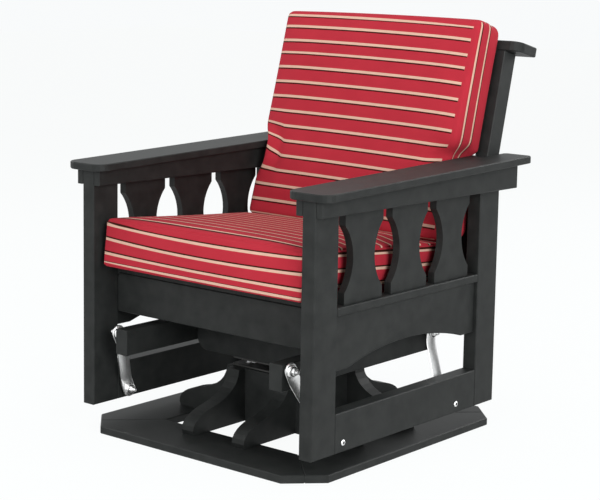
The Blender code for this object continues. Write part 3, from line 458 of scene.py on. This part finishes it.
def makeHanger(side, end):
    spec = hangerStrap
    sign = -1 if side == "left" else 1
    node = "hanger_" + end + "_" + side
    top = Vector((sign * spec["topX"], spec["topPivots"][end], spec["topZ"]))
    low = Vector((sign * spec["lowX"], spec["lowPivots"][end], spec["lowZ"]))
    bm = bmesh.new()
    makeStrap(bm, top, low, sign)
    lowBore = spec["looseBore"] if end == "rear" else spec["boreRadius"]   # the rear lower eyes have play
    turnedShape(bm, top, eyeProfile(spec["boreRadius"]), steps=32, closed=True)
    turnedShape(bm, low, eyeProfile(lowBore), steps=32, closed=True)
    piece = meshPiece("fitted_" + node, bm, zincSteel, crease=35)
    paintGrooveShade(piece, (top, low))
    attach(piece, node)
    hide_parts(node)


for side in ("left", "right"):
    for end in ("front", "rear"):
        makeHanger(side, end)
print("hangers made")


# Swivel: two bolted plates, a ring of balls between pressed races and the king bolt.
swivelPlates = {
    "half": 0.1145, "cornerRadius": 0.012, "soft": 0.0007, "lowBore": 0.0120, "highBore": 0.0083,
    "screwRadius": 0.0072, "screwHeight": 0.0044, "screwWasher": 0.0098, "washerThick": 0.0008,
    "lowScrews": (0.0820, 0.0820), "highScrews": (0.0480, 0.1015),
}
ballRace = {
    "inner": 0.0480, "outer": 0.0750, "lip": 0.0042, "groove": 0.0012, "balls": 28, "ballRadius": 0.0036,
}
kingBolt = {"headRadius": 0.0140, "headHeight": 0.0060, "stemRadius": 0.0080}


def roundedSquare(angle):  # distance to a plate's edge at an angle, as a share of half its width
    corner = swivelPlates["cornerRadius"] / swivelPlates["half"]
    a, b = abs(math.cos(angle)), abs(math.sin(angle))
    reach = 1 / max(a, b)
    inner = 1 - corner
    if reach * min(a, b) > inner:
        along = inner * (a + b)
        reach = along + math.sqrt(max(0, along * along - 2 * inner * inner + corner * corner))
    return reach


# where a plate's outline has its points, close together at the rounded corners
plateAngles = sorted(math.radians(90 * quarter + turn) for quarter in range(4)
                     for turn in (0, 10, 20, 30, 37, 40, 41.5, 42.6, 43.6, 44.4,
                                  45, 45.6, 46.4, 47.4, 48.5, 50, 53, 60, 70, 80))


def makeSwivelPlate(node, body, bore, screws, screwSide):
    spec = swivelPlates
    (lowX, lowY, lowZ), (highX, highY, highZ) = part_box(node)
    x, y, middleZ = (lowX + highX) / 2, (lowY + highY) / 2, (lowZ + highZ) / 2
    soft, half = spec["soft"], spec["half"]
    bm = bmesh.new()
    profile = [(lowZ, bore), (lowZ, half - soft, roundedSquare), (lowZ + soft, half, roundedSquare),
               (highZ - soft, half, roundedSquare), (highZ, half - soft, roundedSquare), (highZ, bore)]
    turnedShape(bm, (x, y, 0), profile, axis="z", closed=True, angles=plateAngles)
    face = highZ if screwSide > 0 else lowZ
    radius, height, wide = spec["screwRadius"], spec["screwHeight"] * screwSide, spec["screwWasher"]
    thin = spec["washerThick"] * screwSide
    head = [(-thin, 0), (-thin, wide), (thin, wide), (thin, radius * 0.92), (thin * 1.5, radius, hexShare),
            (height - thin, radius, hexShare), (height, radius * 0.84), (height, 0)]
    places = [(x + a * screws[0], y + b * screws[1]) for a in (-1, 1) for b in (-1, 1)]
    for place in places:
        turnedShape(bm, (*place, face), head, axis="z")
    piece = meshPiece("fitted_" + node, bm, plateSteelAndShade, crease=30)
    piece.data.materials.append(zincSteel)
    for polygon in piece.data.polygons:  # the screws' heads and washers are zinc
        middle = polygon.center
        near = min(math.hypot(middle.x - a, middle.y - b) for a, b in places)
        if near < wide + 0.0002 and abs(middle.z - middleZ) > 0.0026:
            polygon.material_index = 1
    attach(piece, body)
    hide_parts(node)


def makeBallRace():
    spec = ballRace
    (lowX, lowY, lowZ), (highX, highY, highZ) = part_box("swivel_ball_race")
    x, y = (lowX + highX) / 2, (lowY + highY) / 2
    inner, outer, lip, groove = spec["inner"], spec["outer"], spec["lip"], spec["groove"]
    middle, radius = (inner + outer) / 2, spec["ballRadius"]
    bm = bmesh.new()
    for face, way in ((lowZ, 1), (highZ, -1)):
        edge, bed = face + way * lip, face + way * (lip - groove)
        ring = [(face, inner), (face, outer), (face + way * lip * 0.7, outer), (edge, outer - 0.0015),
                (edge, middle + radius), (bed, middle + radius / 2), (bed, middle - radius / 2),
                (edge, middle - radius), (edge, inner)]
        turnedShape(bm, (x, y, 0), ring, axis="z", steps=64, closed=True)
    turns = [math.pi * (k / 8 - 0.5) for k in range(9)]
    ball = [(radius * math.sin(t), radius * math.cos(t)) for t in turns]
    for k in range(spec["balls"]):
        angle = math.tau * k / spec["balls"]
        place = (x + middle * math.cos(angle), y + middle * math.sin(angle), (lowZ + highZ) / 2)
        turnedShape(bm, place, ball, axis="z", steps=12)
    piece = meshPiece("fitted_swivel_ball_race", bm, plateSteelAndShade, crease=35)
    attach(piece, "base")
    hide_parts("swivel_ball_race")


def makeKingBolt():
    spec = kingBolt
    (lowX, lowY, lowZ), (highX, highY, highZ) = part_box("swivel_king_bolt")
    head, height, stem = spec["headRadius"], spec["headHeight"], spec["stemRadius"]
    under = highZ - height
    profile = [(highZ, 0), (highZ, head * 0.84), (highZ - 0.0007, head, hexShare),
               (under + 0.0009, head, hexShare), (under + 0.0008, head * 0.99), (under, head * 0.99),
               (under, stem)]
    profile += threadProfile(under - 0.006, lowZ, stem)
    bm = bmesh.new()
    turnedShape(bm, ((lowX + highX) / 2, (lowY + highY) / 2, 0), profile, axis="z")
    piece = meshPiece("fitted_swivel_king_bolt", bm, zincSteel, crease=32)
    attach(piece, "turntable")
    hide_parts("swivel_king_bolt")


makeSwivelPlate("swivel_lower_plate", "base", swivelPlates["lowBore"], swivelPlates["lowScrews"], 1)
makeSwivelPlate("swivel_upper_plate", "turntable", swivelPlates["highBore"], swivelPlates["highScrews"], -1)
makeBallRace()
makeKingBolt()
print("swivel made")


# Striped cloth. The cushions store "cloth" on their face corners: along a stripe, across them, pitch share.
clothLook = {
    "red": (0.440, 0.0285, 0.0450),
    "deepRed": (0.380, 0.0225, 0.0370),
    "cream": (0.640, 0.405, 0.310),
    "dark": (0.034, 0.0060, 0.0035),
    "pitch": 0.0386,          # from stripe to stripe, m
    "creamShare": 0.190,      # of the pitch
    "darkShare": 0.090,
    "edge": 0.016,            # softness of a stripe's edges
    "thread": 0.0011,         # weave, m
    "weaveShade": (0.93, 1.05), "patches": 14.0, "slubs": 700.0,
    "bump": 0.16, "bumpDepth": 0.0004,
    "roughness": 0.88, "gloss": 0.06, "sheen": 0.02, "sheenRoughness": 0.5,
}


def clothMaterial():
    look = clothLook
    material, tree, shader = newMaterial("stripedCloth")
    cloth = addNode(tree, "Attribute", attribute_name="cloth").outputs["Vector"]
    parts = addNode(tree, "SeparateXYZ", {"Vector": cloth})
    across = mathNode(tree, "MULTIPLY", mathNode(tree, "FRACT", parts.outputs["Y"]), parts.outputs["Z"])
    cream, dark, edge = look["creamShare"], look["darkShare"], look["edge"]
    place = addNode(tree, "TexCoord").outputs["Object"]
    patches = addNode(tree, "TexNoise", {"Vector": place, "Scale": look["patches"], "Detail": 2.0})
    red = mixColour(tree, patches.outputs["Fac"], look["red"], look["deepRed"])
    no, yes = (0, 0, 0), (1, 1, 1)
    inCream = ramp(tree, across, [(0.0, no), (edge, yes), (cream - edge, yes), (cream, no)])
    inDark = ramp(tree, across, [(cream - edge, no), (cream, yes), (cream + dark - edge, yes),
                                 (cream + dark, no)])
    stripe = mixColour(tree, inCream, red, look["cream"])
    lined = mixColour(tree, inDark, stripe, look["dark"])
    turns = math.tau / look["thread"]
    warp = mathNode(tree, "SINE", mathNode(tree, "MULTIPLY", parts.outputs["X"], turns))
    weft = mathNode(tree, "SINE", mathNode(tree, "MULTIPLY", parts.outputs["Y"], turns * look["pitch"]))
    weave = mathNode(tree, "MULTIPLY", warp, weft)
    shade = rescale(tree, weave, *look["weaveShade"])
    woven = addNode(tree, "VectorMath", {0: lined, "Scale": shade}, operation="SCALE")
    tree.links.new(woven.outputs["Vector"], shader.inputs["Base Color"])
    slub = addNode(tree, "TexNoise", {"Vector": place, "Scale": look["slubs"], "Detail": 2.0})
    height = mathNode(tree, "ADD", weave, slub.outputs["Fac"])
    bump = addNode(tree, "Bump", {"Height": height, "Strength": look["bump"],
                                  "Distance": look["bumpDepth"]})
    tree.links.new(bump.outputs["Normal"], shader.inputs["Normal"])
    shader.inputs["Roughness"].default_value = look["roughness"]
    shader.inputs["Specular IOR Level"].default_value = look["gloss"]
    shader.inputs["Sheen Weight"].default_value = look["sheen"]
    shader.inputs["Sheen Roughness"].default_value = look["sheenRoughness"]
    return material


stripedCloth = clothMaterial()
print("cloth ready")


# "over" values say how far the panel's cloth reaches past its edges, "boxing" ones how the stripes of the
# side strip lie, and "cap" how far the filling may move a point.
seatCushion = {
    "corner": (0.0, -0.4160, 0.4117),   # middle of the lower front edge
    "tilt": -5.0,                       # the deck falls to the rear
    "halfWidth": 0.3150, "depth": 0.6160, "thick": 0.1150,
    "showRound": 0.011, "restRound": 0.008,   # edges of the face that shows and of the one it rests on
    "panelOverSide": 0.0, "panelOverLeft": 0.0, "panelOverEnd": 0.0,
    "crown": 0.0105, "crownReach": (0.200, 0.055), "draw": 0.004, "frontBow": 0.004,
    "pressed": 0.135,                   # the rear part under the back cushion stays flat
    "panelPitch": 0.0386, "firstOnPanel": 0.0335, "plainFront": 0.020,
    "firstOnBoxing": 0.0180, "boxingPitch": 0.0355, "boxingWay": -1, "boxingDrift": 0.0,
    "boxingReach": (-9, 9),             # first and last pitch that can hold a stripe
    "sagDepth": 0.008, "slant": 0.0027, "lastStripeUp": 0.0145,
    "cells": (40, 38, 7), "seam": 0.0034,
    "pressure": 0.25, "cap": 0.008,
}
backCushion = {
    "corner": (-0.0010, 0.2423, 0.4711),   # middle of the lower rear edge, against the back's slats
    "tilt": backLean,
    "halfWidth": 0.3150, "height": 0.5430, "thickLow": 0.1270, "thickTop": 0.1020,
    "showRound": 0.018, "restRound": 0.028,
    "panelOverSide": -0.018, "panelOverLeft": 0.006, "panelOverEnd": 0.006,
    "crown": 0.005, "crownReach": (0.100, 0.100), "draw": 0.003, "topBow": 0.003,
    "pressed": 0.0,
    "bottomRise": 0.0197,               # the lower edge follows the seat's slope
    "panelPitch": 0.0386, "firstOnPanel": 0.004,
    "firstOnBoxing": 0.0240, "boxingPitch": 0.0430, "boxingWay": 1, "boxingDrift": 0.020,
    "boxingReach": (-0.5, 1.8),
    "rowShift": -0.0079, "rowSlant": -0.016, "rowBend": -0.030,   # how the stripes lie on the front panel
    # each row is (how far below the top seam, how far the cloth sits up from there down)
    "rowLifts": ((0.0247, 0.0082), (0.0630, 0.0013), (0.1020, 0.0070)),
    "leftSlip": 0.028, "rightSlip": 0.003, "slipReach": 0.080, "slipAt": 0.190, "slipSpread": 0.059375,
    "leftBulge": 0.62, "rightBulge": -0.90,   # how far the front edge swells out over each arm
    "cells": (40, 54, 6), "seam": 0.0014,
    "pressure": 0.25, "cap": 0.007,
}
armPress = {                  # how the arms hold the back cushion's sides in, by height above the floor
    "depth": 0.0275,
    "fade": (0.570, 0.635),
    "frontShare": 0.35, "frontHeights": (0.735, 0.690),
    "sideHeights": (0.685, 0.6775), "sideLift": 0.034,
}
filling = {"frames": 20, "quality": 8, "mass": 0.3, "stretch": 120, "shear": 40, "bend": 4}
heldLayer = (0.002, 0.03)     # off the face that a cushion lies on: still held, and wholly free


# three narrow cells in each rounded edge, even ones between
def axisSteps(length, lowRound, highRound, cells):
    low = [lowRound * k / 3 for k in range(3)]
    middle = [lowRound + (length - lowRound - highRound) * k / cells for k in range(cells)]
    high = [length - highRound + highRound * k / 3 for k in range(4)]
    return low + middle + high


def shellFaces(counts):  # side name and corner indices of each face of a box of cells
    nx, na, nt = counts
    for i in range(nx):
        for j in range(na):
            yield "rest", [(i, j, 0), (i, j + 1, 0), (i + 1, j + 1, 0), (i + 1, j, 0)]
            yield "show", [(i, j, nt), (i + 1, j, nt), (i + 1, j + 1, nt), (i, j + 1, nt)]
    for i in range(nx):
        for k in range(nt):
            yield "low", [(i, 0, k), (i + 1, 0, k), (i + 1, 0, k + 1), (i, 0, k + 1)]
            yield "high", [(i, na, k), (i, na, k + 1), (i + 1, na, k + 1), (i + 1, na, k)]
    for j in range(na):
        for k in range(nt):
            yield "left", [(0, j, k), (0, j, k + 1), (0, j + 1, k + 1), (0, j + 1, k)]
            yield "right", [(nx, j, k), (nx, j + 1, k), (nx, j + 1, k + 1), (nx, j, k + 1)]


def roundedPoint(p, size, showRound, restRound):  # moves a point of a sharp box onto the rounded one
    radius = showRound if p.z > size.z / 2 else restRound
    inner = Vector((min(max(p.x, radius), size.x - radius), min(max(p.y, radius), size.y - radius),
                    min(max(p.z, radius), size.z - radius)))
    out = p - inner
    return inner + out.normalized() * radius if out.length > 1e-9 else p


def boxingPlace(along, over, spec):  # the same for the side strip; over is the way from the shown face
    first, last = spec["boxingReach"]
    stripes = spec["boxingWay"] * (over - spec["firstOnBoxing"]) / spec["boxingPitch"]
    return Vector((along, max(first, min(stripes, last)), spec["boxingPitch"] / clothLook["pitch"]))


def clothPlace(side, p, size, spec, kind):  # where a point of the sharp box lies on the striped cloth
    beyond = size.z - p.z
    wide = p.x - size.x / 2
    pitch = spec["panelPitch"]
    if kind == "under":  # the front boxing's stripes run on a little under the cushion
        return boxingPlace(wide, size.z + p.y - spec["sag"](p) + spec["lastStripeUp"], spec)
    if kind == "rest":
        return Vector((wide, -p.y / pitch, pitch / clothLook["pitch"]))
    if kind == "panel":
        along, across = wide, p.y
        if side in ("left", "right"):
            along += beyond if side == "right" else -beyond
        elif side == "low":
            across -= beyond
        elif side == "high":
            across += beyond
        stripes = (spec["panelPhase"](across) + spec["slip"](p)) / pitch
        return Vector((along, stripes, pitch / clothLook["pitch"]))
    along, over = wide, beyond - spec["panelOverEnd"]
    if side in ("left", "right", "show"):
        along, over = p.y, beyond - overSide(p.x, size, spec)
        if side == "show":
            over = abs(wide) - size.x / 2 - spec["panelOverSide"]
        over -= spec["boxingDrift"] * (1 - p.y / size.y)
    if side == "low":
        over -= spec["sag"](p)
        if spec["boxingWay"] < 0 and p.z < 1.2 * spec["restRound"]:
            over += spec["lastStripeUp"]
    return boxingPlace(along, over, spec)


def overSide(x, size, spec):  # how far past the edge the panel's cloth reaches on this side
    return spec["panelOverLeft"] if x < size.x / 2 else spec["panelOverSide"]


def panelKind(side, middle, size, spec):  # which piece of cloth covers a face
    beyond = size.z - middle.z
    fromSide = abs(middle.x - size.x / 2) - size.x / 2
    reach = overSide(middle.x, size, spec)
    inboard = reach >= 0 or fromSide < reach
    if side == "rest":
        return "under" if middle.y < 0.03 and spec["boxingWay"] < 0 else "rest"
    if side == "show":
        return "panel" if inboard else "boxing"
    if side in ("left", "right"):
        return "panel" if beyond < reach else "boxing"
    return "panel" if inboard and beyond < spec["panelOverEnd"] else "boxing"


def cushionShell(spec, size, place):
    # A closed cover of quads, which keeps its cloth places on the face corners and its seams on the edges.
    steps = (axisSteps(size.x, spec["showRound"], spec["showRound"], spec["cells"][0]),
             axisSteps(size.y, spec["showRound"], spec["showRound"], spec["cells"][1]),
             axisSteps(size.z, spec["restRound"], spec["showRound"], spec["cells"][2]))
    counts = [len(s) - 1 for s in steps]
    bm = bmesh.new()
    cloth = bm.loops.layers.float_vector.new("cloth")
    seamLayer = bm.edges.layers.float.new("seam")
    made, sharp, kinds = {}, {}, {}
    for side, corners in shellFaces(counts):
        for key in corners:
            if key not in made:
                sharp[key] = Vector((steps[0][key[0]], steps[1][key[1]], steps[2][key[2]]))
                made[key] = bm.verts.new(place(sharp[key]))
        face = bm.faces.new([made[key] for key in corners])
        middle = sum((sharp[key] for key in corners), Vector()) / 4
        kind = panelKind(side, middle, size, spec)
        kinds[face] = "rest" if kind == "under" else kind
        for loop, key in zip(face.loops, corners):
            loop[cloth] = clothPlace(side, sharp[key], size, spec, kind)
    for edge in bm.edges:
        if len({kinds[f] for f in edge.link_faces}) > 1:
            edge[seamLayer] = 1.0
    return bm


def edgeRise(distance, reach):  # 0 at an edge, rising in a quarter circle to 1
    share = 1 - min(max(distance, 0) / reach, 1)
    return math.sqrt(max(0.0, 1 - share * share))


def crownAt(q, size, spec):
    sideReach, endReach = spec["crownReach"]
    swell = spec["crown"] * edgeRise(min(q.x, size.x - q.x), sideReach)
    return swell * edgeRise(q.y, endReach) * edgeRise(size.y - q.y - spec["pressed"], endReach)


def smoothStep(low, high, value):
    t = min(max((value - low) / (high - low), 0), 1)
    return t * t * (3 - 2 * t)


def seatPlace(spec, size):
    tilt = Matrix.Rotation(math.radians(spec["tilt"]), 3, "X")

    def place(p):
        q = roundedPoint(p, size, spec["showRound"], spec["restRound"])
        q.z += crownAt(q, size, spec) * smoothStep(0.5, 1.0, q.z / size.z)
        upright = 1 - (2 * q.z / size.z - 1) ** 2
        middleX, middleY = 1 - (2 * q.x / size.x - 1) ** 2, 1 - (2 * q.y / size.y - 1) ** 2
        q.x -= math.copysign(spec["draw"], q.x - size.x / 2) * middleY * (abs(2 * q.x / size.x - 1) ** 3)
        q.y += spec["draw"] * 0.8 * (1 - middleX) * (1 - q.y / size.y) ** 3
        q.y -= spec["frontBow"] * upright * middleX * (1 - q.y / size.y) ** 6
        return Vector(spec["corner"]) + tilt @ Vector((q.x - size.x / 2, q.y, q.z))
    return place


def armPinch(z, layer):  # layer is 0 at the cushion's rear face and 1 at its front
    press = armPress
    early = press["frontShare"] * smoothStep(0.5, 1.0, layer)
    start, end = press["sideHeights"]
    start += press["sideLift"] * smoothStep(0.10, 0.45, layer)
    above = early * smoothStep(*press["frontHeights"], z) + (1 - early) * smoothStep(start, end, z)
    return press["depth"] * above * smoothStep(*press["fade"], z)


def clothSlip(p, size, spec):  # how far the arms push the front panel's cloth up near its sides
    level = math.exp(-((p.y - spec["slipAt"]) / spec["slipSpread"]) ** 2)
    left = max(0, 1 - p.x / spec["slipReach"])
    right = max(0, 1 - (size.x - p.x) / spec["slipReach"])
    wide, fromTop = p.x - size.x / 2, size.y - p.y - spec["firstOnPanel"]
    rows = sum(lift * smoothStep(at - 0.010, at + 0.010, fromTop) for at, lift in spec["rowLifts"])
    drawn = spec["rowShift"] + spec["rowSlant"] * wide + spec["rowBend"] * wide * wide + rows
    return level * (spec["leftSlip"] * left + spec["rightSlip"] * right) + drawn


def backPlace(spec, size):
    tilt = Matrix.Rotation(-math.radians(spec["tilt"]), 3, "X")

    def place(p):
        q = roundedPoint(p, size, spec["showRound"], spec["restRound"])
        layer = q.z / size.z
        front = smoothStep(0.5, 1.0, layer)
        q.z += crownAt(q, size, spec) * front
        high = q.y / size.y
        q.z *= (spec["thickLow"] * (1 - high) + spec["thickTop"] * high) / size.z
        middleX, middleY = 1 - (2 * q.x / size.x - 1) ** 2, 1 - (2 * high - 1) ** 2
        q.x -= math.copysign(spec["draw"], q.x - size.x / 2) * middleY * (abs(2 * q.x / size.x - 1) ** 3)
        q.y += spec["topBow"] * middleX * high ** 8
        q.y -= spec["bottomRise"] * q.z / size.z * (1 - high)
        w = Vector(spec["corner"]) + tilt @ Vector((q.x - size.x / 2, -q.z, q.y))
        share = min(1, abs(w.x - spec["corner"][0]) / (size.x / 2))
        pinch = armPinch(w.z, layer)
        bulge = spec["leftBulge" if w.x < 0 else "rightBulge"] * pinch
        w.y -= bulge * front * smoothStep(0.78, 0.97, share)
        w.x -= math.copysign(pinch * smoothStep(0.60, 1.0, share), w.x)
        return w
    return place


def inflate(piece, spec, freedom):
    # A cloth simulation fills the cover, and each point is then held near where it started.
    start = np.array([v.co for v in piece.data.vertices])
    cloth = piece.modifiers.new("fill", "CLOTH")
    settings = cloth.settings
    settings.quality = filling["quality"]
    settings.mass = filling["mass"]
    settings.tension_stiffness = filling["stretch"]
    settings.compression_stiffness = filling["stretch"]
    settings.shear_stiffness = filling["shear"]
    settings.bending_stiffness = filling["bend"]
    settings.use_pressure = True
    settings.uniform_pressure_force = spec["pressure"]
    settings.effector_weights.gravity = 0
    cloth.point_cache.frame_start = 1
    cloth.point_cache.frame_end = filling["frames"]
    for step in range(1, filling["frames"] + 1):
        scene.frame_set(step)
    filled = piece.evaluated_get(bpy.context.evaluated_depsgraph_get())
    now = np.array([v.co for v in filled.data.vertices])
    piece.modifiers.remove(cloth)
    scene.frame_set(1)
    shift = now - start
    length = np.linalg.norm(shift, axis=1, keepdims=True)
    free = np.array([[freedom(Vector(co))] for co in start])
    shift *= np.minimum(1, spec["cap"] / np.maximum(length, 1e-9)) * free
    piece.data.vertices.foreach_set("co", (start + shift).ravel())
    piece.data.update()
    print(piece.name, "filled, its cloth moved by up to", round(float(length.max()), 4))


def seatFreedom(co):  # held on the deck and under the back cushion
    spec = seatCushion
    local = Matrix.Rotation(math.radians(-spec["tilt"]), 3, "X") @ (co - Vector(spec["corner"]))
    pressed = smoothStep(spec["depth"] - spec["pressed"] - 0.03, spec["depth"] - spec["pressed"], local.y)
    return smoothStep(*heldLayer, local.z) * (1 - pressed)


def backFreedom(co):  # held against the slats and where it stands on the seat
    spec = backCushion
    local = Matrix.Rotation(math.radians(spec["tilt"]), 3, "X") @ (co - Vector(spec["corner"]))
    return smoothStep(*heldLayer, -local.y) * smoothStep(0.0, 0.06, local.z)


def sewSeams(piece, depth):  # presses the seam lines into the cover
    mesh = piece.data
    seams = mesh.attributes["seam"].data
    onSeam = {v for edge in mesh.edges if seams[edge.index].value > 0.5 for v in edge.vertices}
    normals = {v: mesh.vertices[v].normal.copy() for v in onSeam}
    for v in onSeam:
        mesh.vertices[v].co -= normals[v] * depth
    mesh.update()


def finishCushion(piece, node):
    rounding = piece.modifiers.new("round", "SUBSURF")
    rounding.levels = rounding.render_levels = 1
    done = bpy.data.meshes.new_from_object(piece.evaluated_get(bpy.context.evaluated_depsgraph_get()))
    old = piece.data
    piece.modifiers.clear()
    piece.data = done
    bpy.data.meshes.remove(old)
    done.name = piece.name
    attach(piece, "seat")
    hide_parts(node)


def seatSag(p, size, spec):  # how far the front boxing's stripes hang down
    wide = 2 * p.x / size.x - 1
    return spec["sagDepth"] * (1 - wide ** 2) * smoothStep(0.0, 0.6, p.z / size.z) + spec["slant"] * wide


def makeSeatCushion():
    spec = seatCushion
    size = Vector((2 * spec["halfWidth"], spec["depth"], spec["thick"]))
    spec["panelPhase"] = lambda across: spec["firstOnPanel"] - max(across, spec["plainFront"])
    spec["slip"] = lambda p: 0.0
    spec["sag"] = lambda p: seatSag(p, size, spec)
    bm = cushionShell(spec, size, seatPlace(spec, size))
    piece = meshPiece("seatCushion", bm, stripedCloth)
    inflate(piece, spec, seatFreedom)
    sewSeams(piece, spec["seam"])
    finishCushion(piece, "seat_cushion")


def makeBackCushion():
    spec = backCushion
    size = Vector((2 * spec["halfWidth"], spec["height"], spec["thickLow"]))
    spec["panelPhase"] = lambda across: size.y - across - spec["firstOnPanel"]
    spec["slip"] = lambda p: clothSlip(p, size, spec)
    spec["sag"] = lambda p: 0.0
    bm = cushionShell(spec, size, backPlace(spec, size))
    piece = meshPiece("backCushion", bm, stripedCloth)
    inflate(piece, spec, backFreedom)
    sewSeams(piece, spec["seam"])
    finishCushion(piece, "back_cushion")


makeSeatCushion()
makeBackCushion()
print("cushions made")


stageLook = {
    "floorSize": 30.0, "floorColour": (0.86, 0.86, 0.86),
    "floorWhite": (0.985, 1.0, 1.0), "whiteShare": 0.95, "skyWhite": (0.945, 0.960, 0.966),
    "skyColour": (0.95, 0.98, 1.0), "skyLevel": 0.20,
}
cameraView = {
    "place": (2.6309, -3.2209, 1.1864),
    "azimuth": 39.60, "down": 8.57, "roll": 0.98,
    "lens": 101.03, "shift": -0.08,
}
lamps = {
    "rightSoftbox": {"place": (3.6, -1.6, 1.7), "aim": (0, 0, 0.5), "size": 2.2, "power": 118},
    "topSoftbox": {"place": (0.2, 0.2, 3.6), "aim": (0, 0, 0.4), "size": 3.0, "power": 55},
    "frontFill": {"place": (0.6, -4.2, 1.9), "aim": (0, 0, 0.6), "size": 2.4, "power": 86},
    "rearFill": {"place": (1.2, 4.2, 2.2), "aim": (0, 0, 0.5), "size": 2.4, "power": 80},
    "leftFill": {"place": (-4.0, -0.9, 1.8), "aim": (0, 0, 0.5), "size": 2.4, "power": 65},
}


def whiteRays(tree):  # rays that see the plain white studio: the camera's, reflected and refracted ones
    path = addNode(tree, "LightPath")
    seen = mathNode(tree, "MAXIMUM", path.outputs["Is Camera Ray"], path.outputs["Is Glossy Ray"])
    return mathNode(tree, "MAXIMUM", seen, path.outputs["Is Transmission Ray"])


def makeFloor():
    look = stageLook
    bm = bmesh.new()
    bmesh.ops.create_grid(bm, x_segments=8, y_segments=8, size=look["floorSize"] / 2)
    material, tree, shader = newMaterial("paleFloor")
    shader.inputs["Base Color"].default_value = (*look["floorColour"], 1)
    shader.inputs["Roughness"].default_value = 0.9
    shader.inputs["Specular IOR Level"].default_value = 0.0
    white = addNode(tree, "Emission", {"Color": (*look["floorWhite"], 1), "Strength": 1.0})
    mix = addNode(tree, "MixShader", {0: mathNode(tree, "MULTIPLY", whiteRays(tree), look["whiteShare"])})
    tree.links.new(shader.outputs["BSDF"], mix.inputs[1])
    tree.links.new(white.outputs["Emission"], mix.inputs[2])
    output = next(n for n in tree.nodes if n.type == "OUTPUT_MATERIAL")
    tree.links.new(mix.outputs["Shader"], output.inputs["Surface"])
    meshPiece("floor", bm, material)


def makeWorld():
    look = stageLook
    world = bpy.data.worlds.new("studio")
    scene.world = world
    world.use_nodes = True
    tree = world.node_tree
    tree.nodes.clear()
    soft = addNode(tree, "Background", {"Color": (*look["skyColour"], 1), "Strength": look["skyLevel"]})
    white = addNode(tree, "Background", {"Color": (*look["skyWhite"], 1), "Strength": 1.0})
    mix = addNode(tree, "MixShader", {0: whiteRays(tree)})
    tree.links.new(soft.outputs["Background"], mix.inputs[1])
    tree.links.new(white.outputs["Background"], mix.inputs[2])
    output = tree.nodes.new("ShaderNodeOutputWorld")
    tree.links.new(mix.outputs["Shader"], output.inputs["Surface"])


def makeLamps():
    for name, lamp in lamps.items():
        light = bpy.data.lights.new(name, "AREA")
        light.shape = "DISK"
        light.size = lamp["size"]
        light.energy = lamp["power"]
        holder = bpy.data.objects.new(name, light)
        scene.collection.objects.link(holder)
        holder.location = lamp["place"]
        toward = Vector(lamp["aim"]) - Vector(lamp["place"])
        holder.rotation_euler = toward.to_track_quat("-Z", "Y").to_euler()


def makeCamera():
    view = cameraView
    azimuth, down, roll = (math.radians(view[key]) for key in ("azimuth", "down", "roll"))
    level = math.cos(down)
    ahead = Vector((-math.sin(azimuth) * level, math.cos(azimuth) * level, -math.sin(down)))
    right = ahead.cross(Vector((0, 0, 1))).normalized()
    up = right.cross(ahead)
    rolledRight = right * math.cos(roll) + up * math.sin(roll)
    rolledUp = up * math.cos(roll) - right * math.sin(roll)
    turn = Matrix((rolledRight, rolledUp, -ahead)).transposed().to_4x4()
    data = bpy.data.cameras.new("photoCamera")
    data.lens = view["lens"]
    data.sensor_width = 36
    data.shift_y = view["shift"]
    camera = bpy.data.objects.new("photoCamera", data)
    camera.matrix_world = Matrix.Translation(view["place"]) @ turn
    scene.collection.objects.link(camera)
    scene.camera = camera


makeFloor()
makeWorld()
makeLamps()
makeCamera()
scene.view_settings.view_transform = "Standard"
print("stage, lamps and camera set")
